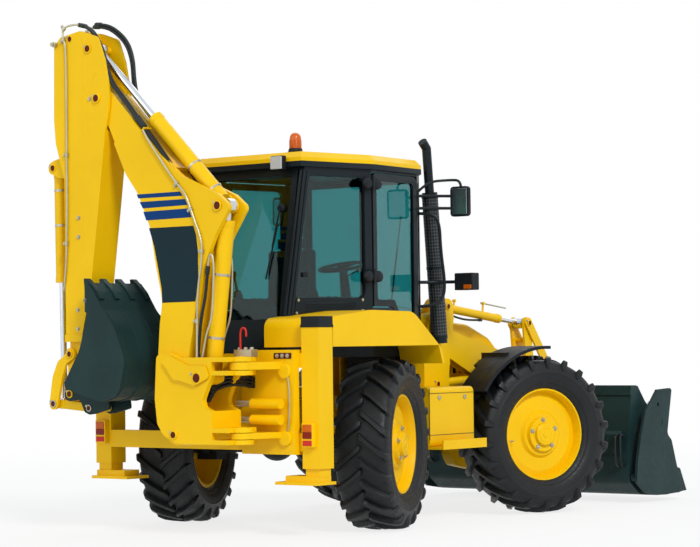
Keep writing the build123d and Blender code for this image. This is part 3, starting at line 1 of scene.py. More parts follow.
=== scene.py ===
"""The looks of the backhoe loader: finishes, tyres, hoses, lamps, trim and the studio.

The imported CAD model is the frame. Lengths are metres in the part's frame: +X forward, +Y to the machine's
left, +Z up, zero on the ground at the middle of the overall length. Places come from the nodes' boxes and
from the joints' pins. The backhoe has a frame of its own: u outward from the swing axis in the plane of
the boom, w across it, z up; hoe() turns it into the part's frame.
"""
import json
from math import cos, exp, pi, radians, sin

import bmesh
import bpy
from mathutils import Matrix, Vector
from mathutils.bvhtree import BVHTree


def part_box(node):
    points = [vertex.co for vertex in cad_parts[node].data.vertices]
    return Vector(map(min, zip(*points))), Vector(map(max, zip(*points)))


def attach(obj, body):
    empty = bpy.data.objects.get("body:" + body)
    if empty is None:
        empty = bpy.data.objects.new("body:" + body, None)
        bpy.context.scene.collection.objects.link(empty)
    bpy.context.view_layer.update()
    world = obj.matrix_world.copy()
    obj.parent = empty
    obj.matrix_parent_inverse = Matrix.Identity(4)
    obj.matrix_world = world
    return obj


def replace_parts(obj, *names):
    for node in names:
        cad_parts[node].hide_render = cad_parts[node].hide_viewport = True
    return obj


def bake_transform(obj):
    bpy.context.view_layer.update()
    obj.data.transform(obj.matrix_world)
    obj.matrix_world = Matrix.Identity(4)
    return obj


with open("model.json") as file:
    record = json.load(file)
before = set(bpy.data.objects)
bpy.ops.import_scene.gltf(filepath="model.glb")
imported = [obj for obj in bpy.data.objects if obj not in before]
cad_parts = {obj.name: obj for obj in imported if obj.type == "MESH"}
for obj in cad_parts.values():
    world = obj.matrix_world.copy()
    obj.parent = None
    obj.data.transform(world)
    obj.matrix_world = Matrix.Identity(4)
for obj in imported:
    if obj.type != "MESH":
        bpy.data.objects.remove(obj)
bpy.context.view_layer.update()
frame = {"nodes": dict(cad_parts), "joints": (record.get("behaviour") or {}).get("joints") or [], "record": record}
JOINTS = {joint["name"]: joint for joint in frame["joints"]}
NODES = frame["nodes"]
UP = Vector((0, 0, 1))


def pin(joint):
    """Where a hinge's axis passes."""
    return Vector(JOINTS[joint]["pos_m"])


SWING = pin("swing")
SIDES = ((1, "left"), (-1, "right"))
MM = 0.001
HOSE_R = 0.0125
PIPE_R = 0.008
ARM_PLANE = 0.485            # how far each loader arm stands from the machine's middle


def handed(points, side):
    """Points of the machine's left side, on the left or the right."""
    return [(x, y * side, z) for x, y, z in points]


def hoe(u, w, z):
    """From the backhoe's own frame to the part's."""
    return Vector((SWING.x - w, SWING.y + u, z))


def run_of(points, w):
    """A row of (u, z) in millimetres as points of the backhoe at w."""
    return [hoe(u * MM, w, z * MM) for u, z in points]


def uz(joint):
    """A backhoe pin as (u, z)."""
    at = pin(joint)
    return at.y - SWING.y, at.z


def placed(name, data):
    """A new object in the scene."""
    obj = bpy.data.objects.new(name, data)
    bpy.context.scene.collection.objects.link(obj)
    return obj


# ---- camera and studio ----
CAMERA_AT = Vector((-15.926, -12.268, 1.454))
CAMERA_YAW, CAMERA_PITCH, CAMERA_ROLL = 38.36, 1.66, 0.728
CAMERA_LENS = 122.4
SENSOR = 36.0
FLOOR_RADIUS = 60.0
FLOOR_COLOUR = (0.86, 0.86, 0.85, 1)
FLOOR_FADE = (("From Min", 4.0), ("From Max", 16.0), ("To Min", 0.8),
              ("To Max", 1.0))  # its glow by distance
SKY_COLOUR, SKY_STRENGTH = (0.86, 0.92, 1.0, 1), 0.5
SUNS = (  # name, direction of its light, strength, width in degrees
    ("key", (0.42, 0.72, -0.62), 1.9, 14), ("fill", (0.9, -0.25, -0.35), 0.5, 40),
    ("back", (-0.7, -0.3, -0.6), 0.35, 40))


def camera():
    """The camera at the photograph's viewing angle."""
    yaw, pitch, roll = (radians(a) for a in (CAMERA_YAW, CAMERA_PITCH, CAMERA_ROLL))
    ahead = Vector((cos(yaw) * cos(pitch), sin(yaw) * cos(pitch), sin(pitch)))
    right = Vector((sin(yaw), -cos(yaw), 0))
    down = ahead.cross(right)
    across = right * cos(roll) + down * sin(roll)
    below = down * cos(roll) - right * sin(roll)
    data = bpy.data.cameras.new("camera")
    data.lens, data.sensor_width = CAMERA_LENS, SENSOR
    data.clip_end = 200
    obj = placed("camera", data)
    obj.matrix_world = Matrix.Translation(CAMERA_AT) @ Matrix((across, -below, -ahead)).transposed().to_4x4()
    bpy.context.scene.camera = obj


def added(tree, kind):
    """A new shader node."""
    return tree.nodes.new("ShaderNode" + kind)


def wire(tree, *links):
    """Joins outputs to inputs."""
    for output, socket in links:
        tree.links.new(output, socket)


def seen(tree):
    """1 for a ray from the camera, a mirror or glass, and 0 for light on the object."""
    path = added(tree, "LightPath")
    total = path.outputs["Is Camera Ray"]
    for name in ("Is Glossy Ray", "Is Transmission Ray"):
        add = added(tree, "Math")
        add.operation = "MAXIMUM"
        tree.links.new(total, add.inputs[0])
        tree.links.new(path.outputs[name], add.inputs[1])
        total = add.outputs[0]
    return total


def studio():
    """A pale floor, a white surround and soft light from above the camera's right shoulder."""
    world = bpy.data.worlds.new("world")
    bpy.context.scene.world = world
    world.use_nodes = True
    tree = world.node_tree
    light = tree.nodes["Background"]
    white, mix = added(tree, "Background"), added(tree, "MixShader")
    light.inputs["Color"].default_value = SKY_COLOUR
    light.inputs["Strength"].default_value = SKY_STRENGTH
    white.inputs["Color"].default_value = (1, 1, 1, 1)
    wire(tree, (seen(tree), mix.inputs["Fac"]), (light.outputs[0], mix.inputs[1]),
         (white.outputs[0], mix.inputs[2]), (mix.outputs[0], tree.nodes["World Output"].inputs["Surface"]))

    bm = bmesh.new()
    bmesh.ops.create_circle(bm, cap_ends=True, segments=96, radius=FLOOR_RADIUS)
    mesh = bpy.data.meshes.new("floor")
    bm.to_mesh(mesh)
    bm.free()
    floor = placed("floor", mesh)
    material = bpy.data.materials.new("floor")
    material.use_nodes = True
    tree = material.node_tree
    tree.nodes.remove(tree.nodes["Principled BSDF"])
    matt, glow = added(tree, "BsdfDiffuse"), added(tree, "Emission")
    shown, mix = added(tree, "Math"), added(tree, "MixShader")
    matt.inputs["Color"].default_value = FLOOR_COLOUR
    shown.operation = "MULTIPLY"
    place, span = added(tree, "TexCoord"), added(tree, "VectorMath")
    fade = added(tree, "MapRange")
    span.operation = "LENGTH"
    fade.interpolation_type = "SMOOTHSTEP"
    for name, value in FLOOR_FADE:
        fade.inputs[name].default_value = value
    wire(tree, (place.outputs["Object"], span.inputs[0]), (span.outputs["Value"], fade.inputs["Value"]),
         (fade.outputs["Result"], shown.inputs[1]), (seen(tree), shown.inputs[0]),
         (shown.outputs[0], mix.inputs["Fac"]), (matt.outputs[0], mix.inputs[1]),
         (glow.outputs[0], mix.inputs[2]), (mix.outputs[0], tree.nodes["Material Output"].inputs["Surface"]))
    mesh.materials.append(material)

    for name, toward, power, size in SUNS:
        data = bpy.data.lights.new(name, "SUN")
        data.energy, data.angle = power, radians(size)
        placed(name, data).rotation_euler = Vector(toward).to_track_quat("-Z", "Y").to_euler()
    bpy.context.scene.view_settings.view_transform = "Standard"


# ---- finishes ----
def noise(tree, coordinates, scale, detail=3.0):
    """A noise texture's value output."""
    node = added(tree, "TexNoise")
    node.inputs["Scale"].default_value = scale
    node.inputs["Detail"].default_value = detail
    tree.links.new(coordinates, node.inputs["Vector"])
    return node.outputs["Fac"]


def ranged(tree, value, low, high):
    """Stretches the middle of a noise's values to low..high."""
    node = added(tree, "MapRange")
    for name, number in (("From Min", 0.35), ("From Max", 0.65), ("To Min", low), ("To Max", high)):
        node.inputs[name].default_value = number
    tree.links.new(value, node.inputs["Value"])
    return node.outputs["Result"]


def blended(tree, factor, first, second):
    """A mix of two colours."""
    node = added(tree, "Mix")
    node.data_type = "RGBA"
    tree.links.new(factor, node.inputs["Factor"])
    node.inputs["A"].default_value = (*first, 1)
    node.inputs["B"].default_value = (*second, 1)
    return node.outputs["Result"]


def finish(name, colour, rough, metal=0.0, coat=0.0, shade=0.88, patch=1.6, grain=420.0, bump=0.02,
           spread=0.06, specular=0.2, **sockets):
    """A procedural surface: patches of a slightly different shade, uneven gloss and a fine grain."""
    material = bpy.data.materials.new(name)
    material.use_nodes = True
    tree = material.node_tree
    shader = tree.nodes["Principled BSDF"]
    where = added(tree, "TexCoord").outputs["Object"]
    darker = tuple(c * shade for c in colour)
    patches = ranged(tree, noise(tree, where, patch), 0, 1)
    tree.links.new(blended(tree, patches, colour, darker), shader.inputs["Base Color"])
    gloss = ranged(tree, noise(tree, where, patch * 9, 5), max(rough - spread, 0.02), rough + spread)
    tree.links.new(gloss, shader.inputs["Roughness"])
    shader.inputs["Metallic"].default_value = metal
    shader.inputs["Specular IOR Level"].default_value = specular
    shader.inputs["Coat Weight"].default_value = coat
    shader.inputs["Coat Roughness"].default_value = 0.12
    for socket, value in sockets.items():
        shader.inputs[socket.replace("_", " ").title().replace("Ior", "IOR")].default_value = value
    relief = added(tree, "Bump")
    relief.inputs["Strength"].default_value = bump
    relief.inputs["Distance"].default_value = 0.004
    tree.links.new(noise(tree, where, grain, 2), relief.inputs["Height"])
    tree.links.new(relief.outputs[0], shader.inputs["Normal"])
    return material


YELLOW = finish("yellow_paint", (0.93, 0.56, 0.0), 0.42, coat=0.04, shade=0.93, grain=260, bump=0.015)
SLATE = finish("slate_paint", (0.012, 0.036, 0.036), 0.45, shade=0.75, patch=3, grain=300, bump=0.05,
               specular=0.16)
BLACK = finish("black_paint", (0.006, 0.012, 0.016), 0.4, coat=0.06, grain=260, bump=0.03, specular=0.16)
NAVY = finish("navy_film", (0.0, 0.045, 0.185), 0.35, grain=200, bump=0.01, specular=0.12)
PANEL = finish("dark_film", (0.005, 0.022, 0.030), 0.35, grain=200, bump=0.01, specular=0.12)
PLASTIC = finish("black_plastic", (0.007, 0.010, 0.013), 0.55, grain=700, bump=0.12)
RUBBER = finish("tyre_rubber", (0.0065, 0.0085, 0.0100), 0.5, shade=0.6, specular=0.3, patch=5, grain=160,
                bump=0.22, spread=0.1)
HOSE = finish("hose_rubber", (0.010, 0.016, 0.017), 0.45, grain=500, bump=0.15, specular=0.3)
GLASS = finish("tinted_glass", (0.085, 0.40, 0.41), 0.03, shade=0.97, bump=0.0, spread=0.01, specular=0.4,
               transmission_weight=1.0, ior=1.45)
CHROME = finish("rod_chrome", (0.66, 0.70, 0.76), 0.16, metal=1.0, grain=900, bump=0.01, spread=0.04)
ZINC = finish("zinc_plate", (0.50, 0.48, 0.38), 0.36, metal=0.9, patch=14, grain=600, bump=0.05)
STEEL = finish("worn_steel", (0.20, 0.20, 0.20), 0.42, metal=0.9, shade=0.6, patch=12, grain=380, bump=0.12)
CREAM = finish("plated_pipe", (0.50, 0.47, 0.33), 0.38, metal=0.6, patch=9, grain=500, bump=0.05)
RED = finish("pin_red", (0.10, 0.010, 0.006), 0.45, patch=20, bump=0.04, specular=0.15)
SIGNAL = finish("signal_red", (0.62, 0.02, 0.016), 0.35, coat=0.2)
GUARD = finish("guard_sheet", (0.075, 0.08, 0.085), 0.4, metal=0.6, patch=8, grain=500, bump=0.05)
IRON = finish("casting", (0.018, 0.020, 0.022), 0.6, patch=6, grain=180, bump=0.3)
FABRIC = finish("seat_fabric", (0.014, 0.018, 0.020), 0.85, patch=9, grain=1400, bump=0.6, sheen_weight=0.2)
AMBER = finish("amber_lens", (0.80, 0.15, 0.003), 0.2, coat=0.15, bump=0.0, transmission_weight=0.3)
RED_LENS = finish("red_lens", (0.26, 0.006, 0.006), 0.2, coat=0.15, bump=0.0, transmission_weight=0.1)
CLEAR = finish("clear_lens", (0.78, 0.80, 0.78), 0.12, coat=0.3, bump=0.0, transmission_weight=0.3)

FINISH_OF = {  # by the start of a node's name; the first that fits holds
    "tyre": RUBBER, "rim": YELLOW, "knuckle_front": PLASTIC, "knuckle": IRON, "front_axle": IRON,
    "rear_axle": IRON, "engine": IRON, "cab_glass": GLASS, "door_glass": GLASS, "door": BLACK,
    "cab_frame": BLACK, "cab_roof": YELLOW, "cab_interior": FABRIC, "exhaust": BLACK, "mirrors": PLASTIC,
    "lamps": PLASTIC, "bucket_link": YELLOW, "bucket_barrel": YELLOW, "bucket_rod": CHROME, "bucket": SLATE,
    "clam_jaw": SLATE, "hoe_bucket": SLATE, "lift_rods": CHROME, "tilt_rods": CHROME, "clam_rods": CHROME,
    "clam_barrels": SLATE, "boom_rod": CHROME, "arm_rod": CHROME, "": YELLOW}
SLOT_OF = {material.name: slot for slot, materials in (  # a piece's slot by the name its material was given
    ("yellow_paint", (YELLOW,)), ("slate_paint", (SLATE,)), ("black_paint", (BLACK, NAVY, PANEL, GUARD)),
    ("black_plastic", (PLASTIC, HOSE)), ("rod_chrome", (CHROME, ZINC, CREAM)), ("castings", (STEEL, RED)),
    ("lamp_lens", (SIGNAL, AMBER, RED_LENS, CLEAR)), ("seat_trim", (FABRIC,))) for material in materials}


def dress_nodes():
    """Gives every CAD node its finish."""
    for name, obj in NODES.items():
        material = next(m for start, m in FINISH_OF.items() if name.startswith(start))
        obj.data.materials.clear()
        obj.data.materials.append(material)
        for polygon in obj.data.polygons:
            polygon.material_index = 0


# ---- mesh tools ----
def axes(direction):
    """A direction's unit vector and two that are square to it."""
    along = Vector(direction).normalized()
    side = along.cross(UP if abs(along.z) < 0.9 else Vector((1, 0, 0))).normalized()
    return along, side, along.cross(side)


def shaded(name, bm, material, crease):
    """A bmesh as a smoothly shaded mesh with one finish."""
    bmesh.ops.recalc_face_normals(bm, faces=bm.faces)
    mesh = bpy.data.meshes.new(name)
    bm.to_mesh(mesh)
    bm.free()
    mesh.materials.append(material)
    mesh.polygons.foreach_set("use_smooth", [True] * len(mesh.polygons))
    mesh.set_sharp_from_angle(angle=radians(crease))
    return mesh


def piece(name, bm, material, body="root", slot=None, bevel=0.0, steps=2, crease=32):
    """Makes a bmesh into a piece of the machine; a piece without a body is left unattached."""
    obj = placed(name, shaded(name, bm, material, crease))
    if bevel:
        modifier = obj.modifiers.new("bevel", "BEVEL")
        modifier.width, modifier.segments = bevel, steps
        modifier.limit_method, modifier.angle_limit = "ANGLE", radians(crease)
        modifier.harden_normals = True
    if body:
        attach(obj, body)
    slot = slot or SLOT_OF[material.name]
    return obj


def blanks(count):
    """Some empty bmeshes."""
    return [bmesh.new() for _ in range(count)]


def loft(bm, rings, closed=False):
    """Faces through a list of rings of points, each ring closed on itself; ends are capped unless closed."""
    made = [[bm.verts.new(p) for p in ring] for ring in rings]
    for one, two in zip(made, made[1:] + made[:1] if closed else made[1:]):
        for i in range(len(one)):
            j = (i + 1) % len(one)
            bm.faces.new((one[i], one[j], two[j], two[i]))
    if not closed:
        bm.faces.new(made[0][::-1])
        bm.faces.new(made[-1])


SQUARE = ((-1, -1), (1, -1), (1, 1), (-1, 1))


def box(bm, low, high, turn=None):
    """A box between two corners, turned about its middle."""
    low, high = Vector(low), Vector(high)
    middle, half = (low + high) / 2, (high - low) / 2
    spin = turn or Matrix.Identity(3)
    loft(bm, [[middle + spin @ Vector((x * half.x, y * half.y, z * half.z)) for x, y in SQUARE]
              for z in (-1, 1)])


def stack(bm, layers):
    """Faces round a stack of level rectangles, each (z, x low, x high, y low, y high)."""
    loft(bm, [[Vector((x, y, z)) for x, y in ((x0, y0), (x1, y0), (x1, y1), (x0, y1))]
              for z, x0, x1, y0, y1 in layers])


def circle(at, side, other, r, count, start=0.0):
    """Points on a circle."""
    return [at + side * (r * cos(a)) + other * (r * sin(a))
            for a in (start + 2 * pi * i / count for i in range(count))]


def turned(bm, at, direction, profile, count=32, start=0.0):
    """A turned piece: profile is (distance along the axis, radius) pairs."""
    along, side, other = axes(direction)
    loft(bm, [circle(Vector(at) + along * t, side, other, max(r, 0.0002), count, start) for t, r in profile])


def rod(bm, start, stop, r, count=16):
    """A round bar between two points."""
    start, stop = Vector(start), Vector(stop)
    turned(bm, start, stop - start, ((0, r), ((stop - start).length, r)), count)


def hex_bolt(bm, at, direction, r):
    """A hexagon head on its washer, standing up from a surface."""
    turned(bm, at, direction, ((-0.002, r * 1.35), (r * 0.22, r * 1.35)), 20)
    turned(bm, at, direction, ((r * 0.2, r), (r * 0.82, r), (r * 0.95, r * 0.82)), 6, 0.3)


def sweep(bm, points, r, count=12):
    """A round tube along points, with ends closed."""
    points = [Vector(p) for p in points]
    side = axes(points[1] - points[0])[1]
    rings = []
    for i, at in enumerate(points):
        ahead = (points[min(i + 1, len(points) - 1)] - points[max(i - 1, 0)]).normalized()
        side = (side - ahead * side.dot(ahead)).normalized()
        rings.append(circle(at, side, ahead.cross(side), r, count))
    loft(bm, rings)


def smooth_line(points):
    """Points along the NURBS spline that a list of control points makes."""
    curve = bpy.data.curves.new("line", "CURVE")
    curve.dimensions = "3D"
    curve.resolution_u = 8
    spline = curve.splines.new("NURBS")
    spline.points.add(len(points) - 1)
    for point, at in zip(spline.points, points):
        point.co = (*at, 1)
    spline.order_u = 3
    spline.use_endpoint_u = True
    holder = bpy.data.objects.new("line", curve)
    mesh = bpy.data.meshes.new_from_object(holder)
    line = [v.co.copy() for v in mesh.vertices]
    bpy.data.objects.remove(holder)
    bpy.data.curves.remove(curve)
    bpy.data.meshes.remove(mesh)
    return line


def bent(bm, points, r, count=12):
    """A bent pipe along a smooth line through its bends."""
    sweep(bm, smooth_line(points), r, count)


def hose(bm, points, r=HOSE_R):
    """A hose along a smooth line through its bends, with a swaged fitting at each end."""
    line = smooth_line(points)
    sweep(bm, line, r)
    fitting = ((0, r * 1.2), (r * 0.8, r * 1.45), (r * 5, r * 1.4), (r * 5.5, r * 1.05))
    for end, beyond in ((line[0], line[1]), (line[-1], line[-2])):
        way = (beyond - end).normalized()
        turned(bm, end - way * r * 0.5, way, fitting, 12)


def prism(bm, points, depth):
    """A flat outline pushed along depth."""
    loft(bm, [[Vector(p) for p in points], [Vector(p) + Vector(depth) for p in points]])


# ---- tyres and wheels ----
TYRE_R = 0.6635
TYRE_OFFSET = 0.158
TREAD_FOOT = 0.6235
LUG_COUNT = 22
LUG_REACH = 0.214
LUG_SLANT = 0.167            # a tread bar's far end trails its near end by this much round the tyre
CORNERS = [(end, hand) for end in ("front", "rear") for hand in ("right", "left")]
CARCASS = (  # distance from the tyre's middle, radius: bead, side wall with its ribs, shoulder, tread
    (0.163, 0.385), (0.171, 0.388), (0.180, 0.402), (0.190, 0.412), (0.192, 0.424), (0.199, 0.428),
    (0.207, 0.446), (0.215, 0.474), (0.219, 0.505), (0.2195, 0.512), (0.2215, 0.515), (0.2215, 0.523),
    (0.2195, 0.526), (0.217, 0.548), (0.207, 0.578), (0.196, 0.600), (0.180, 0.614), (0.140, 0.6195),
    (0.070, 0.6225))


def tyre_mesh():
    """One tyre about the Y axis: a lathed carcass and bars that run from the middle over the shoulder."""
    bm = bmesh.new()
    ring = [(y, r) for y, r in CARCASS] + [(-y, r) for y, r in CARCASS[::-1]]
    loft(bm, [[Vector((r * cos(a), y, r * sin(a))) for y, r in ring]
              for a in (2 * pi * i / 96 for i in range(96))], closed=True)

    def at(y, r, turn):
        return Vector((r * sin(turn), y, r * cos(turn)))

    # sections of a bar: share of its run, dip of its top, half width of its top and of its foot
    run = ((0.0, -0.008, 0.014, 0.020), (0.03, -0.003, 0.024, 0.031), (0.10, 0.0, 0.029, 0.036),
           (0.18, 0.0, 0.025, 0.033), (0.30, -0.001, 0.022, 0.031), (0.60, -0.004, 0.023, 0.034),
           (0.86, -0.009, 0.026, 0.037))
    # and over the shoulder: share, radius, distance from the middle, half widths, radius of its foot
    over = ((1.0, 0.640, 0.205, 0.028, 0.038, 0.590), (1.03, 0.612, 0.2195, 0.026, 0.036, 0.572),
            (1.05, 0.580, 0.2235, 0.021, 0.030, 0.556), (1.06, 0.556, 0.2225, 0.013, 0.020, 0.545))
    for side in (1, -1):
        for i in range(LUG_COUNT):
            start = 2 * pi * (i + (0.5 if side < 0 else 0.0)) / LUG_COUNT
            rings = []

            def section(share, top, edge, foot, half_top, half_foot):
                turn, t, f = start + LUG_SLANT * share / TYRE_R, half_top / TYRE_R, half_foot / TYRE_R
                rings.append([at(side * y, r, turn + out) for (y, r), out in (
                    (foot, -f), (edge, -t), (top, -t * 0.8), (top, t * 0.8), (edge, t), (foot, f))])

            for share, dip, top, foot in run:
                y, crown = -0.010 + (LUG_REACH - 0.008) * share, TYRE_R - 0.001 + dip
                section(share, (y, crown), (y, crown - 0.008), (y, TREAD_FOOT - 0.012), top, foot)
            for share, radius, y, top, foot, low in over:
                section(share, (y, radius), (y - 0.004, radius - 0.004), (y - 0.030, low), top, foot)
            loft(bm, rings)
    return shaded("tyre", bm, RUBBER, 38)


def wheel_place(end, hand):
    """From a left wheel's own frame, y outboard from the kingpin, to a wheel as it stands."""
    joint = JOINTS[f"wheel_{end}_{hand}_spin"]
    outward = Vector(joint["axis"]).normalized() * (1 if hand == "left" else -1)
    forward = outward.cross(UP)
    return Matrix.Translation(Vector(joint["pos_m"])) @ Matrix((forward, outward, UP)).transposed().to_4x4()


def tyres():
    """The four tyres, each in place of its plain node."""
    mesh = tyre_mesh()
    for end, hand in CORNERS:
        own = mesh.copy()
        own.transform(wheel_place(end, hand) @ Matrix.Translation((0, TYRE_OFFSET, 0)))
        if hand == "right":
            own.flip_normals()
        obj = placed(f"tread_{end}_{hand}", own)
        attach(obj, f"wheel_{end}_{hand}")
        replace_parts(obj, f"tyre_{end}_{hand}")


HUB_FACE = 0.3475            # the hub's outer face, from the kingpin
STUD_CIRCLE = 0.122
STUDS = 5
PLUG = ((0, 0.066), (0.004, 0.064), (0.004, 0.05), (0.0015, 0.048), (0.0015, 0.03), (0.006, 0.028),
        (0.006, 0.0))
VALVE = ((0, 0.008), (0.012, 0.008), (0.013, 0.004), (0.045, 0.004), (0.046, 0.006), (0.055, 0.006))


def wheel_trim():
    """Wheel nuts, the hub's plug and the valve on each rim."""
    for end, hand in CORNERS:
        place = wheel_place(end, hand)
        out = place.to_3x3() @ Vector((0, 1, 0))
        nuts, hub = blanks(2)
        for i in range(STUDS):
            a = 2 * pi * (i + 0.2) / STUDS
            at = place @ Vector((STUD_CIRCLE * cos(a), HUB_FACE - 0.033, STUD_CIRCLE * sin(a)))
            hex_bolt(nuts, at, out, 0.015)
            turned(nuts, at, out, ((0.012, 0.008), (0.022, 0.008), (0.024, 0.006)), 12)
        turned(hub, place @ Vector((0, HUB_FACE - 0.001, 0)), out, PLUG, 36)
        hex_bolt(hub, place @ Vector((0.058, HUB_FACE - 0.004, 0.03)), out, 0.009)
        turned(nuts, place @ Vector((0.3, TYRE_OFFSET + 0.09, -0.05)), out, VALVE, 10)
        piece(f"wheel_nuts_{end}_{hand}", nuts, ZINC, f"wheel_{end}_{hand}")
        piece(f"hub_cover_{end}_{hand}", hub, YELLOW, f"wheel_{end}_{hand}")


# ---- finding the CAD's surfaces ----
TREES = {}
BODY_OF = {node: body for body, nodes in frame["record"]["behaviour"]["bodies"].items() for node in nodes}


def tree_of(node):
    """A node's faces, ready for rays."""
    if node not in TREES:
        mesh = NODES[node].data
        TREES[node] = BVHTree.FromPolygons([v.co.copy() for v in mesh.vertices],
                                           [tuple(p.vertices) for p in mesh.polygons])
    return TREES[node]


def meets(nodes, start, way, reach=2.0):
    """Where a ray first meets one of the nodes: (point, node), or None."""
    found = None
    for node in nodes:
        hit, _, _, distance = tree_of(node).ray_cast(Vector(start), Vector(way).normalized(), reach)
        if hit and (found is None or distance < found[2]):
            found = (hit, node, distance)
    return found[:2] if found else None


def bolt_on(bm, node, start, way, r):
    """A bolt where a ray from outside meets a node, if it does."""
    hit = meets((node,), start, -way, 0.4)
    if hit:
        hex_bolt(bm, hit[0], way, r)


# ---- pins ----
BACKHOE_PINS = (  # the pin as (u, z), its radius, the nodes that show round it
    (uz("boom"), 0.030, ("kingpost", "boom")), (uz("boom_barrel_pivot"), 0.042, ("kingpost", "boom_barrel")),
    (uz("arm_barrel_pivot"), 0.036, ("boom", "boom_rod")), (uz("arm"), 0.034, ("hoe_arm", "boom")),
    ((1.429, 3.757), 0.032, ("hoe_arm",)), ((1.625, 3.849), 0.026, ("hoe_arm",)),
    (uz("bucket_barrel_pivot"), 0.028, ("arm_inner", "bucket_barrel", "hoe_arm")),
    (uz("tipping_lever_pivot"), 0.026, ("tipping_levers", "arm_inner")),
    (uz("bucket_link_pivot"), 0.026, ("tipping_levers", "bucket_link", "bucket_rod")),
    (uz("hoe_bucket"), 0.028, ("hoe_bucket", "arm_inner")),
    ((1.451, 0.972), 0.024, ("hoe_bucket", "bucket_link")))
LOADER_PINS = (  # a point of the pin, its radius, the nodes that show round it
    (pin("lift"), 0.030, ("loader_arms", "main_frame")),
    (pin("lift_barrel_pivot"), 0.026, ("main_frame", "lift_barrels")),
    (pin("tilt_barrel_pivot"), 0.026, ("main_frame", "tilt_barrels")),
    (pin("bellcrank_pivot"), 0.028, ("bellcranks", "loader_arms")),
    (pin("tilt_link_pivot"), 0.024, ("tilt_links", "bellcranks")),
    (pin("tilt"), 0.030, ("bucket", "loader_arms")),
    (Vector((2.01, 0, 0.75)), 0.024, ("tilt_links", "bucket")),
    (Vector((1.08, 0, 1.15)), 0.026, ("loader_arms", "lift_rods")),
    (pin("clam"), 0.030, ("clam_jaw", "bucket")),
    (pin("clam_barrel_pivot"), 0.024, ("bucket", "clam_barrels")))
# rings of a pin's head and of its collar: height, share of the pin's radius
PIN_HEAD = ((-0.002, 0.8), (0.0035, 0.8), (0.005, 0.72), (0.0045, 0.3), (0.003, 0))
PIN_COLLAR = ((-0.002, 1.12), (0.003, 1.12), (0.0045, 1.04), (0.0045, 0.84), (-0.002, 0.84))


def pin_heads():
    """Painted pin ends with their collars and keeper bolts."""
    made = {}

    def cap(body, at, way, r, beside):
        if body not in made:
            made[body] = blanks(3)
        head, collar, bolt = made[body]
        turned(head, at, way, [(t, r * k) for t, k in PIN_HEAD], 28)
        turned(collar, at, way, [(t, r * k) for t, k in PIN_COLLAR], 28)
        hex_bolt(bolt, beside, way, 0.008)

    for (u, z), r, nodes in BACKHOE_PINS:
        for side in (1, -1):
            way = Vector((-side, 0, 0))
            hit = meets(nodes, hoe(u, side * 0.42, z), -way, 0.42)
            edge = meets(nodes, hoe(u + r * 1.25, side * 0.42, z + r * 0.7), -way, 0.42)
            if hit and edge:
                cap(BODY_OF[hit[1]], hit[0], way, r, edge[0])
    for at, r, nodes in LOADER_PINS:
        for middle in (ARM_PLANE, -ARM_PLANE):
            for side in (1, -1):
                way = Vector((0, side, 0))
                start = Vector((at.x, middle, at.z)) + way * 0.16
                hit = meets(nodes, start, -way, 0.16)
                edge = meets(nodes, start + Vector((-r * 1.2, 0, r * 0.8)), -way, 0.16)
                if hit and edge:
                    cap(BODY_OF[hit[1]], hit[0], way, r, edge[0])
    for body, (head, collar, bolt) in made.items():
        piece(f"pin_ends_{body}", head, RED, body)
        plated = body in ("tipping_levers", "hoe_bucket", "bucket_link")
        piece(f"pin_collars_{body}", collar, ZINC if plated else YELLOW, body, "rod_chrome")
        piece(f"pin_keepers_{body}", bolt, ZINC, body)


# ---- backhoe ----
STRIPES = (((934, 2601), (488, 2602), (462, 2569), (917, 2570)),
           ((903, 2542), (439, 2544), (412, 2498), (871, 2492)),
           ((866, 2466), (402, 2472), (374, 2404), (837, 2399)))
DARK_PANEL = ((809, 2339), (357, 2340), (330, 2267), (313, 2142), (313, 1963), (336, 1812), (346, 1774),
              (680, 1771), (685, 1875), (718, 2030), (757, 2199))
BOOM_PIPE = ((849, 3086), (809, 3022), (686, 2872), (538, 2693), (424, 2586), (391, 2514), (345, 2406),
             (262, 2229), (262, 2099), (310, 1839), (320, 1537), (324, 1331))
ARM_PIPE = ((1700, 3890), (1685, 3850), (1652, 3790), (1657, 2900), (1657, 2479), (1674, 2014), (1712, 1886))


def films():
    """The stripes and the blank dark panel on both sides of the boom."""
    for name, outlines, material in (("boom_stripes", STRIPES, NAVY), ("boom_panel", (DARK_PANEL,), PANEL)):
        bm = bmesh.new()
        for points in outlines:
            for side in (1, -1):
                prism(bm, run_of(points, side * 0.1145), (-side * 0.0017, 0, 0))
        piece(name, bm, material, "boom")


def laid(points, node, r, side=1, gap=0.006):
    """A pipe's points beside a plate of the backhoe: as far out as the plate there, plus a gap."""
    line = []
    for u, z in points:
        hit = meets((node,), hoe(u * MM, side * 0.5, z * MM), (side, 0, 0), 0.5)
        out = side * (SWING.x - hit[0].x) if hit else 0
        w = out if out > 0.08 else 0.115
        line.append(hoe(u * MM, side * (w + r + gap), z * MM))
    return line


def clamp(bm, bolts, at, run, way, r):
    """A pipe clamp on its foot, with its bolt beside the pipe."""
    run, way = Vector(run).normalized(), Vector(way).normalized()
    side = run.cross(way)
    turn = Matrix((run, side, way)).transposed()
    box(bm, at - Vector((0.014, r * 1.7, r * 1.3)), at + Vector((0.014, r * 1.7, r * 1.3)), turn)
    foot = at + side * r * 3.2
    half = Vector((0.012, r * 2, 0.005))
    box(bm, foot - half - way * r, foot + half - way * r, turn)
    hex_bolt(bolts, foot + side * r * 0.6 - way * (r - 0.004), way, 0.0085)


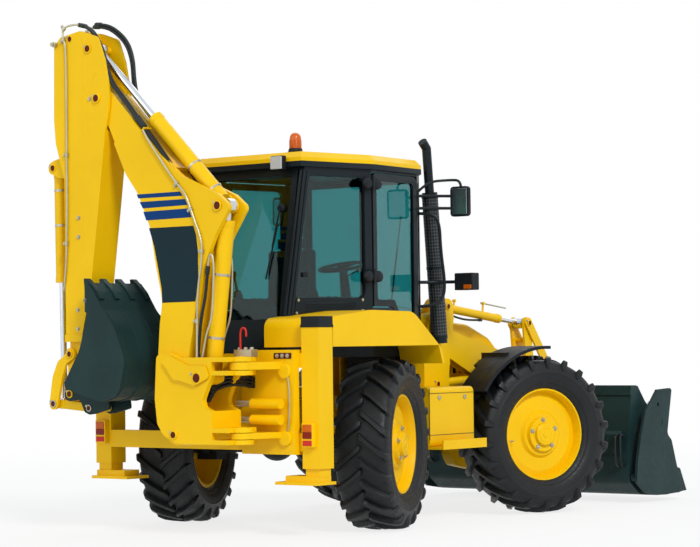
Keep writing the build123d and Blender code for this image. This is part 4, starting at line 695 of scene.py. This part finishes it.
def steel_pipes():
    """The steel pipes down the boom and the arm, with their clamps."""
    for name, points, node, places in (("boom_pipe", BOOM_PIPE, "boom", (0.28, 0.5, 0.72, 0.93)),
                                       ("arm_pipe", ARM_PIPE, "hoe_arm", (0.2, 0.45, 0.7, 0.88))):
        pipe, clamps, bolts = blanks(3)
        for side in (1, -1):
            ends = laid(points, node, PIPE_R, side)
            if node == "hoe_arm":
                w = SWING.x - ends[0].x
                ends = [hoe(1.55, w * 0.78, 3.958), hoe(1.62, w * 0.88, 3.962), hoe(1.695, w, 3.94)] + ends
            line = smooth_line(ends)
            sweep(pipe, line, PIPE_R)
            for share in places:
                i = int(share * (len(line) - 1))
                ahead = line[min(i + 1, len(line) - 1)] - line[i - 1]
                clamp(clamps, bolts, line[i], ahead, (-side, 0, 0), PIPE_R)
        piece(name, pipe, CREAM, BODY_OF[node])
        piece(f"{name}_clamps", clamps, ZINC, BODY_OF[node], bevel=0.002)
        piece(f"{name}_bolts", bolts, ZINC, BODY_OF[node])


BACK_HOSES = ((480, 2672), (545, 2738), (670, 2880), (800, 3030), (925, 3160))
# the hoses' bends over the arm's head as (u, z), then each hose: w at the boom, w at the arm, height above
OVER_HEAD = (
    (((925, 3160), (1030, 3275), (1130, 3385), (1215, 3470), (1275, 3590), (1320, 3740), (1390, 3860),
      (1470, 3935),
      (1560, 3958)), ((92, 86, 0), (64, 62, 0))),
    (((925, 3160), (1030, 3270), (1125, 3370), (1150, 3500), (1160, 3660), (1220, 3800), (1350, 3905),
      (1460, 3950), (1560, 3958)), ((-84, -84, 0), (-84, -84, 25))))


def arm_hoses():
    """Hoses that lie along the boom's back and loop over the arm's pivot."""
    along, ties = blanks(2)
    count = 0
    for points, lanes in OVER_HEAD:
        for near, far, lift in lanes:
            du, dz = -0.74 * lift, 0.67 * lift
            hose(along, run_of([(u + du, z + dz) for u, z in BACK_HOSES], near * MM))
            bm = bmesh.new()
            last = len(points) - 1
            hose(bm, [hoe((u + du) * MM, (near + (far - near) * i / last) * MM, (z + dz) * MM)
                      for i, (u, z) in enumerate(points)])
            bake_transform(piece(f"arm_hose_{count}", bm, HOSE, None))
            count += 1
    for w in (80, -80):
        at = hoe(0.86, w * MM, 3.095)
        half = Vector((0.042, 0.006, 0.018))
        box(ties, at - half, at + half, Matrix.Rotation(0.84, 3, "X"))
    piece("boom_hoses", along, HOSE, "boom")
    piece("hose_ties", ties, YELLOW, "boom", bevel=0.003)


RETURN_BEND = ((296, 1340), (270, 1440), (247, 1535), (191, 1644), (175, 1864), (166, 2069), (193, 2135),
               (221, 2085), (227, 2016))
FEED = ((227, 2030), (236, 1948), (253, 1810), (300, 1646), (325, 1454), (335, 1330))


def lift_lines():
    """The pipe with its return bend beside the boom cylinder, and the hose that feeds it."""
    pipe, line = blanks(2)
    for w in (0.104, -0.104):
        bent(pipe, run_of(RETURN_BEND, w), PIPE_R)
        hose(line, run_of(FEED, w), 0.012)
    piece("lift_pipes", pipe, CREAM, "boom_barrel")
    piece("lift_hoses", line, HOSE, "boom_barrel")


def cylinder_trim():
    """Straps with their bolts on the barrels of the backhoe's cylinders."""
    for name, at in (("boom", 0.86), ("arm", 0.50), ("bucket", 0.5)):  # at: metres from the base pin
        body, base = f"{name}_barrel", pin(f"{name}_barrel_pivot")
        axis = Vector(JOINTS[f"{name}_rod_slide"]["axis"]).normalized()
        straps, bolts = blanks(2)
        out = Vector((-1, 0, 0))
        side = axis.cross(out)
        for share in (at * 0.9, at * 0.35):
            middle = base + axis * share
            hit = meets((body,), middle + out * 0.3, -out, 0.3)
            if not hit:
                continue
            r = (hit[0] - middle).length
            _, across, other = axes(axis)
            loft(straps, [circle(middle + axis * t, across, other, r + rise, 40) for t, rise in
                          ((-0.009, -0.0005), (-0.009, 0.0025), (0.009, 0.0025), (0.009, -0.0005))],
                          closed=True)
            for hand in (1, -1):
                hex_bolt(bolts, middle + side * hand * (r + 0.004), side * hand, 0.009)
        piece(f"{body}_straps", straps, ZINC, body)
        piece(f"{body}_bolts", bolts, ZINC, body)


TOOTH_W = (-0.255, -0.085, 0.085, 0.255)
SHANK = ((1337, 1969), (1323, 1970), (1256, 1918), (1200, 1862), (1168, 1812), (1178, 1806), (1212, 1845),
         (1290, 1915))


def bucket_ribs():
    """Wear ribs round the back of the digging bucket, its teeth's shanks and side bolts."""
    bm, bolts = blanks(2)
    half = Vector((0.013, 0, 0))
    for w in TOOTH_W:
        rings = []
        for i in range(33):
            a = radians(112 + 166 * i / 32)
            away = Vector((0, cos(a), sin(a)))
            hit = meets(("hoe_bucket",), hoe(1.24, w, 1.42) + away * 0.9, -away, 0.9)
            if hit:
                foot, top = hit[0] - away * 0.004, hit[0] + away * 0.007
                rings.append([foot - half, foot + half, top + half * 0.75, top - half * 0.75])
        loft(bm, rings)
    for w in TOOTH_W:
        prism(bm, run_of(SHANK, w + 0.024), (0.048, 0, 0))
    for w in (-1, 1):
        for u, z in ((1.31, 1.80), (1.33, 1.70), (1.36, 1.60)):
            bolt_on(bolts, "hoe_bucket", hoe(u, w * 0.5, z), Vector((-w, 0, 0)), 0.013)
    piece("hoe_bucket_ribs", bm, SLATE, "hoe_bucket")
    piece("hoe_bucket_bolts", bolts, STEEL, "hoe_bucket")


WELDS = (((1468, 3860), (1473, 3292), (1483, 2471), (1494, 2100), (1505, 1560)),
         ((1340, 3560), (1397, 3526), (1422, 3372), (1424, 3226), (1397, 3079), (1359, 2921), (1331, 2860),
          (1302, 2854)))


def arm_trim():
    """Wear-pad bolts, weld lines of the arm's plates and the fitting at its head."""
    bolts, welds = blanks(2)
    for side in (1, -1):
        way = Vector((-side, 0, 0))
        for u, z in ((1546, 2448), (1548, 2300), (1563, 1733), (1565, 1585), (1415, 3365)):
            bolt_on(bolts, "hoe_arm", hoe(u * MM, side * 0.4, z * MM), way, 0.013)
        for points in WELDS:
            bent(welds, laid(points, "hoe_arm", 0.0015, side, -0.0015), 0.0024, 6)
    turned(bolts, hoe(1.778, 0.125, 3.817), (-1, 0, 0),
           ((0, 0.022), (0.03, 0.022), (0.034, 0.016), (0.05, 0.016)), 20)
    piece("arm_bolts", bolts, ZINC, "hoe_arm")
    piece("arm_welds", welds, YELLOW, "hoe_arm")


# ---- kingpost and carriage ----
SWING_LOOP = ((-2.30, -0.56, 1.19), (-2.40, -0.57, 1.20), (-2.50, -0.50, 1.21), (-2.60, -0.44, 1.18),
              (-2.66, -0.44, 1.13), (-2.655, -0.405, 1.09))
HOOK = ((0.03, 0.05), (0.03, 0.12), (0.03, 0.19), (0.01, 0.218), (-0.02, 0.212), (-0.028, 0.18),
        (-0.028, 0.15))
PIPE_BOW = ((-0.012, -0.905, 1.20), (-0.02, -0.925, 1.14), (-0.02, -0.93, 1.0), (-0.02, -0.92, 0.86),
            (-0.012, -0.90, 0.80))


def swing_hoses():
    """The loop of hoses between carriage and kingpost."""
    for i in range(6):
        bm = bmesh.new()
        drop, apart = 0.028 * (i % 3), 0.026 * (i // 3)
        hose(bm, [(x, y + apart, z - drop) for x, y, z in SWING_LOOP])
        obj = piece(f"swing_hose_{i}", bm, HOSE, None)
        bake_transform(obj)


def carriage_trim():
    """The valve block, the lock's red hook, and the carriage's plate, bosses, pipe and swing rods."""
    block, hook, plate, bolts, bosses, line, rods = blanks(7)
    under = meets(("kingpost", "carriage"), (-2.48, -0.62, 2.2), (0, 0, -1))
    base, body = under[0], BODY_OF[under[1]]
    box(block, base + Vector((-0.035, -0.085, -0.001)), base + Vector((0.045, 0.085, 0.055)))
    for y in (-0.06, 0.0, 0.06):
        turned(block, base + Vector((0.005, y, 0.05)), (0, 0, 1),
               ((0, 0.016), (0.016, 0.016), (0.022, 0.011)), 16)
    bent(hook, [base + Vector((-0.02, y, z)) for y, z in HOOK], 0.0075)
    piece("valve_block", block, ZINC, body, bevel=0.003)
    piece("lock_hook", hook, SIGNAL, body)
    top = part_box("carriage")[1].z
    rear = meets(("carriage",), (-3.0, -0.86, top - 0.04), (1, 0, 0))[0].x
    box(plate, (rear - 0.006, -0.935, top - 0.066), (rear + 0.001, -0.765, top - 0.022))
    for y in (-0.90, -0.85, -0.80):
        hex_bolt(bolts, (rear - 0.006, y, top - 0.044), (-1, 0, 0), 0.0125)
    for z in (1.247, 0.746):
        boss = ((0, 0.058), (0.02, 0.056), (0.024, 0.05), (0.024, 0.0))
        turned(bosses, (rear - 0.001, -0.875, z), (-1, 0, 0), boss, 28)
    bent(line, [(rear + x, y, z) for x, y, z in PIPE_BOW], 0.006, 10)
    piece("red_plate", plate, RED, "carriage", "lamp_lens", bevel=0.003)
    piece("carriage_bolts", bolts, ZINC, "carriage")
    piece("carriage_bosses", bosses, YELLOW, "carriage")
    piece("carriage_pipe", line, CREAM, "carriage")
    for z in (0.886, 1.006):
        turned(rods, (-2.395, -0.607, z), (0, 1, 0), ((0, 0.022), (0.138, 0.022)), 24)
    piece("swing_rods", rods, CREAM, "carriage")


JAW_HOSE = ((0.004, 0.60), (-0.045, 0.605), (-0.055, 0.55), (-0.050, 0.44), (-0.040, 0.36), (0.004, 0.33))


def loader_trim():
    """The level rod on the tilt cylinder, cylinder hoses, and the hoses to the opening jaw's cylinders."""
    base, axis = pin("tilt_barrel_pivot"), Vector(JOINTS["tilt_rod_slide"]["axis"]).normalized()
    up = axis.cross(Vector((0, 1, 0)))
    up = up if up.z > 0 else -up
    reach = 0.62
    for side, hand in SIDES:
        start = Vector((base.x, ARM_PLANE * side, base.z))
        brackets, level, line, jaw = blanks(4)
        for along, height in ((reach, 0.075), (0.2, 0.045)):
            foot = start + axis * along + up * 0.030
            rod(brackets, foot, foot + up * height, 0.009, 12)
            turned(brackets, foot + up * height - Vector((0, 0.014, 0)), (0, 1, 0),
                   ((0, 0.012), (0.028, 0.012)), 16)
        piece(f"level_brackets_{hand}", brackets, YELLOW, "tilt_barrels")
        tip = start + axis * reach + up * 0.104
        sweep(level, [tip - axis * 0.03, tip + axis * 0.15, tip + axis * 0.34], 0.007, 12)
        piece(f"level_rod_{hand}", level, ZINC, "tilt_barrels")
        hose(line, [start + axis * t - up * d + Vector((0, 0.02 * side, 0)) for t, d in
                    ((0.10, 0.052), (0.25, 0.070), (0.42, 0.066), (0.58, 0.045))], 0.009)
        piece(f"tilt_hose_{hand}", line, HOSE, "tilt_barrels")
        for i in range(2):
            y = (1.02 + 0.035 * i) * side
            back = meets(("bucket",), (1.4, y, 0.5), (1, 0, 0))[0].x
            hose(jaw, [(back + ahead, y, z) for ahead, z in JAW_HOSE], 0.011)
        piece(f"jaw_hoses_{hand}", jaw, HOSE, "bucket")


# ---- lamps ----
DOME = ((0.034, 0.046), (0.04, 0.0485), (0.1, 0.0465), (0.128, 0.043), (0.146, 0.033), (0.156, 0.018),
        (0.159, 0.002))
LAMP_ARM = ((-0.28, 0.60, 1.94), (-0.2, 0.66, 1.94), (-0.12, 0.75, 1.94), (-0.09, 0.87, 1.94))
TAIL_LENSES = (  # name, material, low and high z, rear face, bevel
    ("tail_lamp", RED_LENS, 0.745, 0.795, -2.313, 0.004),
    ("tail_indicator", AMBER, 0.797, 0.85, -2.313, 0.004),
    ("tail_reflector", SIGNAL, 0.692, 0.732, -2.311, 0.003))


def lens_box(name, low, high, sign, material):
    """A lamp: a rounded housing with a lens set in its front (sign 1) or its rear."""
    low, high = Vector(low), Vector(high)
    face = high.x if sign > 0 else low.x
    inner, outer = sorted((face - sign * 0.004, face + sign * 0.008))
    housing, lens = blanks(2)
    box(housing, low, high)
    box(lens, (inner, low.y + 0.006, low.z + 0.006), (outer, high.y - 0.006, high.z - 0.006))
    piece(f"{name}_housing", housing, PLASTIC, bevel=0.008, steps=3)
    piece(f"{name}_lens", lens, material, "root", "lamp_lens", bevel=0.005, steps=3)


def lamps():
    """The beacon, work lamps, head lamps on their arms, and the tail lamps."""
    base, dome = blanks(2)
    at = Vector((-1.72, -0.5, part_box("cab_roof")[1].z - 0.001))
    turned(base, at, (0, 0, 1), ((0, 0.062), (0.01, 0.062), (0.014, 0.056), (0.032, 0.053), (0.036, 0.05)),
           40)
    turned(dome, at, (0, 0, 1), DOME, 40)
    for z in (0.05, 0.06, 0.07, 0.08, 0.09):
        turned(dome, at, (0, 0, 1),
               ((z, 0.0478), (z + 0.002, 0.0492), (z + 0.006, 0.0492), (z + 0.008, 0.0478)), 40)
    piece("beacon_base", base, PLASTIC)
    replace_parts(piece("beacon_dome", dome, AMBER, crease=50), "lamps")
    for side, hand in reversed(SIDES):
        y = 0.47 * side
        lens_box(f"work_lamp_rear_{hand}", (-1.918, y - 0.062, 2.79), (-1.868, y + 0.062, 2.90), -1, CLEAR)
        y = 0.42 * side
        lens_box(f"work_lamp_front_{hand}", (-0.222, y - 0.062, 2.80), (-0.172, y + 0.062, 2.882), 1, CLEAR)
        inner, outer = sorted((0.86 * side, 1.04 * side))
        lens_box(f"head_lamp_{hand}", (-0.14, inner, 1.87), (-0.04, outer, 2.01), 1, CLEAR)
        turn, arm, shell = blanks(3)
        box(turn, (-0.145, 1.0 * side - 0.03, 1.878), (-0.03, 1.0 * side + 0.048, 1.915))
        piece(f"indicator_{hand}", turn, AMBER, bevel=0.006)
        bent(arm, handed(LAMP_ARM, side), 0.014, 14)
        piece(f"head_lamp_arm_{hand}", arm, BLACK)
        middle = 1.065 * side
        outline = ((-0.055, 0.68), (0.055, 0.68), (0.055, 0.862), (-0.055, 0.862))
        prism(shell, [(-2.262, middle + y, z) for y, z in outline], (-0.045, 0, 0))
        piece(f"tail_lamp_frame_{hand}", shell, YELLOW, bevel=0.007, steps=3)
        for name, material, low, high, rear, bevel in TAIL_LENSES:
            lens = bmesh.new()
            box(lens, (rear, middle - 0.043, low), (-2.30, middle + 0.043, high))
            piece(f"{name}_{hand}", lens, material, bevel=bevel)


# ---- cab ----
def cushion(name, low, high, crown, channels, thick):
    """A padded form: crowned, pulled in at its corners, with sewn channels; thick is its thin axis."""
    low, high = Vector(low), Vector(high)
    middle, half = (low + high) / 2, (high - low) / 2
    wide = [k for k in range(3) if k != thick]
    bm = bmesh.new()
    bmesh.ops.create_cube(bm, size=2)
    bmesh.ops.subdivide_edges(bm, edges=bm.edges, cuts=15, use_grid_fill=True)
    for vertex in bm.verts:
        p = vertex.co.copy()
        a, b, t = p[wide[0]], p[wide[1]], p[thick]
        pull = (1 - a ** 6) * (1 - b ** 6)
        groove = sum(exp(-((b - c) / 0.045) ** 2) for c in channels)
        p[wide[0]] = a * (1 - 0.07 * t * t * abs(a) ** 3)
        p[wide[1]] = b * (1 - 0.07 * t * t * abs(b) ** 3)
        p[thick] = t * (0.62 + (0.38 + crown) * pull ** 0.6 - 0.10 * groove * pull)
        vertex.co = middle + Vector(p[k] * half[k] for k in range(3))
    obj = piece(name, bm, FABRIC, crease=180)
    smooth = obj.modifiers.new("smooth", "SUBSURF")
    smooth.levels = smooth.render_levels = 1
    return obj


COLUMN = ((0, 0.062), (0.3, 0.055), (0.42, 0.042), (0.62, 0.034), (0.65, 0.05), (0.665, 0.048))
# levels of a console: z, x low, x high
CONSOLE = ((1.40, -1.42, -0.78), (1.72, -1.43, -0.77), (1.80, -1.41, -0.80), (1.818, -1.38, -0.84))
GAITER = ((0, 0.04), (0.02, 0.034), (0.035, 0.04), (0.05, 0.03), (0.065, 0.034), (0.08, 0.016))
KNOB = ((-0.015, 0.012), (0.0, 0.02), (0.02, 0.025), (0.035, 0.021), (0.043, 0.008))


def cab_inside():
    """The seat, steering column and wheel, dash, consoles with their levers, and pedals."""
    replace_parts(cushion("seat_cushion", (-1.19, -0.235, 1.642), (-0.765, 0.235, 1.765), 0.05,
                        (-0.45, 0.45), 2), "cab_interior")
    cushion("seat_back", (-1.228, -0.225, 1.76), (-1.112, 0.225, 2.20), 0.05, (-0.3, 0.25), 0)
    cushion("head_rest", (-1.222, -0.13, 2.215), (-1.14, 0.13, 2.295), 0.03, (), 0)
    base, shell, wheel, levers, knobs, dash = blanks(6)
    for i in range(7):
        z = 1.43 + 0.028 * i
        inset = 0.0 if i % 2 else 0.014
        x, y = 0.15 - inset, 0.17 - inset
        stack(base, [(z + h, -0.99 - x, -0.99 + x, -y, y) for h in (0, 0.028)])
    box(base, (-1.14, -0.18, 1.40), (-0.84, 0.18, 1.43))
    box(base, (-1.15, -0.19, 1.62), (-0.82, 0.19, 1.645))
    for y in (-0.1, 0.1):
        turned(base, (-1.18, y, 2.17), (0, 0, 1), ((0, 0.008), (0.07, 0.008)), 10)
    prism(shell, [(-1.245, -0.2, 1.75), (-1.232, -0.2, 2.19), (-1.215, -0.2, 2.19), (-1.2, -0.2, 1.75)],
          (0, 0.4, 0))
    column = Vector((-0.522, 0, 2.076)) - Vector((-0.43, 0, 1.44))
    turned(wheel, (-0.43, 0, 1.44), column, COLUMN, 24)
    hub = Vector((-0.528, 0, 2.08))
    normal = Vector((-0.208, 0, 0.978))
    across, up = Vector((0, 1, 0)), Vector((0.978, 0, 0.208))
    rim = circle(hub, across, up, 0.19, 48)
    loft(wheel, [circle(p, (p - hub).normalized(), normal, 0.0145, 12) for p in rim], closed=True)
    for a in (90, 210, 330):
        out = across * cos(radians(a)) + up * sin(radians(a))
        rod(wheel, hub - normal * 0.012, hub + out * 0.18, 0.011, 10)
    turned(wheel, hub - normal * 0.02, normal, ((0, 0.04), (0.02, 0.045), (0.028, 0.035)), 24)
    rod(levers, (-0.51, -0.03, 2.0), (-0.56, -0.17, 2.04), 0.006, 8)
    turned(knobs, (-0.56, -0.17, 2.04), (-0.3, -1, 0.2),
           ((0, 0.008), (0.01, 0.014), (0.03, 0.014), (0.035, 0.006)), 14)
    for side in (1, -1):
        inner, outer = sorted((0.33 * side, 0.455 * side))
        stack(dash, [(z, low, high, inner, outer) for z, low, high in CONSOLE])
        lean = Vector((-0.06, 0, 0.19))
        foot = Vector((-1.38, 0.39 * side, 1.81))
        turned(dash, foot, lean, GAITER, 20)
        rod(levers, foot, foot + lean, 0.009, 10)
        turned(knobs, foot + lean, lean, KNOB, 20)
        for k in range(3):
            button = Vector((-1.2 + 0.09 * k, 0.39 * side, 1.817))
            turned(knobs, button, (0, 0, 1), ((0, 0.016), (0.006, 0.016), (0.008, 0.011)), 16)
    stack(dash, [(z, low, -0.31, -0.225, 0.225) for z,
                 low in ((1.40, -0.40), (1.55, -0.44), (1.62, -0.455), (1.65, -0.42))])
    for y in (-0.13, 0.13):
        box(levers, (-0.54, y - 0.035, 1.405), (-0.46, y + 0.035, 1.42), Matrix.Rotation(-0.5, 3, "Y"))
    piece("seat_base", base, PLASTIC, bevel=0.003)
    piece("seat_shell", shell, PLASTIC, bevel=0.006)
    piece("steering_wheel", wheel, PLASTIC, crease=50)
    piece("levers", levers, BLACK)
    piece("lever_knobs", knobs, PLASTIC, crease=50)
    piece("dash_and_consoles", dash, PLASTIC, bevel=0.01, steps=3)


CAB_SKIN = ("cab_frame", "cab_glass", "door_right", "door_left", "door_glass_right", "door_glass_left")


def on_cab(x, y, z, toward):
    """A point on the cab's outside, seen along a direction."""
    hit = meets(CAB_SKIN, (x, y, z), toward, 1.5)
    return hit[0] if hit else Vector((x, y, z))


def beside_cab(x, side, z):
    """A point on the outside of the cab's left or right side."""
    return on_cab(x, 1.3 * side, z, (0, -side, 0))


GRAB_HANDLE = ((-0.345, 0.64, 2.50), (-0.29, 0.76, 2.50), (-0.25, 0.80, 2.42), (-0.24, 0.80, 2.2),
               (-0.21, 0.82, 1.92), (-0.23, 0.81, 1.80), (-0.3, 0.76, 1.74), (-0.365, 0.64, 1.74))
GUTTER = ((-0.218, 0.562), (-0.389, 0.725), (-1.14, 0.818), (-1.862, 0.673))


def cab_trim():
    """Door hinges, louvre panels, grab handles, rear posts' tubes, latches, gutter and wipers."""
    for side, hand in SIDES:
        hinges, leaves, louvres, bolts, tubes, rear, latch = blanks(7)
        for z in (2.70, 1.97):
            face = beside_cab(-1.17, side, z)
            for dx, lobe in ((-0.060, hinges), (0.060, leaves)):
                at = face + Vector((dx, 0, 0))
                rings = [[at + Vector((0.056 * k * cos(a), side * out, 0.044 * k * sin(a)))
                          for a in (2 * pi * i / 24 for i in range(24))]
                         for k, out in ((1.0, -0.01), (1.0, 0.008), (0.8, 0.016), (0.3, 0.019))]
                loft(lobe, rings)
            rod(hinges, face + Vector((0, side * 0.012, -0.06)), face + Vector((0, side * 0.012, 0.06)),
                0.013, 14)
        piece(f"door_hinges_{hand}", hinges, PLASTIC, crease=60)
        piece(f"door_leaves_{hand}", leaves, PLASTIC, f"door_{hand}", crease=60)
        corners = ((-1.93, 1.68), (-1.23, 1.70), (-1.23, 1.79), (-1.91, 1.785))
        skin = [beside_cab(x, side, z) for x, z in corners]
        prism(louvres, [p - Vector((0, side * 0.004, 0)) for p in skin], (0, side * 0.012, 0))
        for i in range(3):
            z = 1.704 + 0.026 * i
            a, b = beside_cab(-1.82, side, z), beside_cab(-1.32, side, z + 0.006)
            up, out = Vector((0, 0, 0.014)), Vector((0, side * 0.02, 0))
            loft(louvres, [[p, p + up, p + out * 0.7 + up * 0.2, p + out * 0.9 - up * 0.2] for p in (a, b)])
        for p in skin:
            inward = (sum(skin, Vector()) / 4 - p) * 0.06
            hex_bolt(bolts, p + inward + Vector((0, side * 0.008, 0)), (0, side, 0), 0.009)
        piece(f"louvre_{hand}", louvres, BLACK, bevel=0.002)
        piece(f"louvre_bolts_{hand}", bolts, ZINC)
        bent(tubes, handed(GRAB_HANDLE, side), 0.013, 14)
        piece(f"grab_handle_{hand}", tubes, BLACK)
        foot, head = Vector((-2.024, 0.622 * side, 1.42)), Vector((-1.812, 0.662 * side, 2.78))
        for away in ((-0.012, -0.02 * side, 0), (-0.006, 0.010 * side, 0), (0.022, 0.018 * side, 0)):
            rod(rear, foot + Vector(away), head + Vector(away), 0.014, 14)
        piece(f"rear_post_tubes_{hand}", rear, BLACK)
        at = beside_cab(-1.80, side, 1.98)
        box(latch, at + Vector((-0.03, -0.012, -0.018)),
            at + Vector((0.03, 0.02 if side > 0 else 0.012, 0.018)))
        piece(f"pane_latch_{hand}", latch, PLASTIC, bevel=0.006)
    gutter, wipers = blanks(2)
    rim = [Vector((x, y, 2.812)) for x, y in GUTTER]
    rim += [Vector((p.x, -p.y, p.z)) for p in reversed(rim)]
    loft(gutter, [rim, [p + Vector((0, 0, 0.044)) for p in rim]])
    piece("roof_gutter", gutter, BLACK, bevel=0.004)
    a, b = on_cab(-2.4, -0.455, 2.50, (1, 0, 0)), on_cab(-2.4, -0.36, 1.95, (1, 0, 0))
    lift = Vector((-0.022, 0, 0))
    turned(wipers, a, (-1, 0, 0), ((0, 0.034), (0.02, 0.034), (0.03, 0.02), (0.036, 0.02)), 20)
    rod(wipers, a + lift * 1.3, a.lerp(b, 0.55) + lift, 0.006, 8)
    blade_top = a.lerp(b, 0.25) + lift * 0.7
    rod(wipers, blade_top, b + lift * 0.7, 0.005, 8)
    rod(wipers, blade_top + lift * -0.35, b + lift * 0.35, 0.004, 6)
    a, b = on_cab(0.2, -0.28, 1.78, (-1, 0, 0)), on_cab(0.2, -0.40, 2.5, (-1, 0, 0))
    turned(wipers, a, (1, 0, 0), ((0, 0.03), (0.02, 0.03), (0.03, 0.018)), 20)
    rod(wipers, a + Vector((0.02, 0, 0)), a.lerp(b, 0.6) + Vector((0.018, 0, 0)), 0.006, 8)
    rod(wipers, a.lerp(b, 0.25) + Vector((0.012, 0, 0)), b + Vector((0.012, 0, 0)), 0.005, 8)
    piece("wipers", wipers, PLASTIC)


def exhaust_guard():
    """The perforated guard round the exhaust stack, with its two bands."""
    foot, top = Vector((-0.05, -0.64, 1.44)), Vector((-0.165, -0.64, 2.68))
    along, side, other = axes(top - foot)
    length = (top - foot).length
    columns, rows, r = 18, 44, 0.0665
    bm = bmesh.new()

    def at(i, k):
        a = 2 * pi * i / columns
        out = side * (r * cos(a)) + other * (r * sin(a))
        return foot + along * (0.05 + (length - 0.08) * k / rows) + out

    grid = [[bm.verts.new(at(i, k)) for i in range(columns)] for k in range(rows + 1)]
    for k in range(rows):
        for i in range(columns):
            corners = [grid[k][i], grid[k][(i + 1) % columns], grid[k + 1][(i + 1) % columns],
                       grid[k + 1][i]]
            middle = sum((v.co for v in corners), Vector()) / 4
            inner = [bm.verts.new(middle + (v.co - middle) * 0.66) for v in corners]
            for j in range(4):
                bm.faces.new((corners[j], corners[(j + 1) % 4], inner[(j + 1) % 4], inner[j]))
    obj = piece("exhaust_guard", bm, GUARD)
    sheet = obj.modifiers.new("sheet", "SOLIDIFY")
    sheet.thickness, sheet.offset = 0.002, -1
    bands = bmesh.new()
    for share in (0.04, 0.5, 0.97):
        band = ((0, 0.066), (0, 0.0695), (0.024, 0.0695), (0.024, 0.066))
        turned(bands, foot + along * (length * share - 0.012), along, band, 36)
    piece("exhaust_bands", bands, BLACK)


MIRROR_TUBE = ((-0.40, 0.68, 2.66), (-0.34, 0.74, 2.755), (-0.2, 0.87, 2.77), (-0.16, 0.955, 2.765),
               (-0.16, 0.955, 2.70))


def mirror_faces():
    """The mirrors' glass and the tubes that carry them."""
    for side, hand in SIDES:
        glass, tube = blanks(2)
        inner, outer = sorted((0.875 * side, 1.025 * side))
        box(glass, (-0.1835, inner, 2.487), (-0.178, outer, 2.698))
        piece(f"mirror_glass_{hand}", glass, CHROME, bevel=0.002)
        bent(tube, handed(MIRROR_TUBE, side), 0.011)
        piece(f"mirror_tube_{hand}", tube, BLACK)


# ---- frame and boxes ----
def frame_trim():
    """Stabiliser caps, and the side boxes' lids and latches."""
    for side, hand in SIDES:
        cap, lid, latch = blanks(3)
        tube_low, tube_high = sorted((0.985 * side, 1.150 * side))
        box(cap, (-2.268, tube_low - 0.003, 1.578), (-2.097, tube_high + 0.003, 1.653))
        box(cap, (-2.272, tube_low - 0.007, 1.570), (-2.093, tube_high + 0.007, 1.592))
        piece(f"stabiliser_cap_{hand}", cap, PLASTIC, bevel=0.005, steps=3)
        y = 0.88 * side
        for x in (-0.53, 0.08):
            box(lid, (x - 0.002, y - 0.002, 0.66), (x + 0.002, y + 0.002, 1.08))
        for z in (0.70, 1.035):
            box(lid, (-0.528, y - 0.0025, z - 0.002), (0.078, y + 0.0025, z + 0.002))
        for x in (-0.40, -0.05):
            turned(latch, (x, y, 1.0), (0, side, 0), ((-0.002, 0.02), (0.008, 0.02), (0.011, 0.012)), 20)
            box(latch, (x - 0.005, y - 0.012, 0.994), (x + 0.005, y + 0.012, 1.006))
        piece(f"side_box_lid_{hand}", lid, BLACK)
        piece(f"side_box_latches_{hand}", latch, ZINC, bevel=0.001)


camera()
studio()
dress_nodes()
tyres()
wheel_trim()
pin_heads()
films()
steel_pipes()
arm_hoses()
lift_lines()
cylinder_trim()
bucket_ribs()
arm_trim()
swing_hoses()
carriage_trim()
loader_trim()
lamps()
cab_inside()
cab_trim()
exhaust_guard()
mirror_faces()
frame_trim()
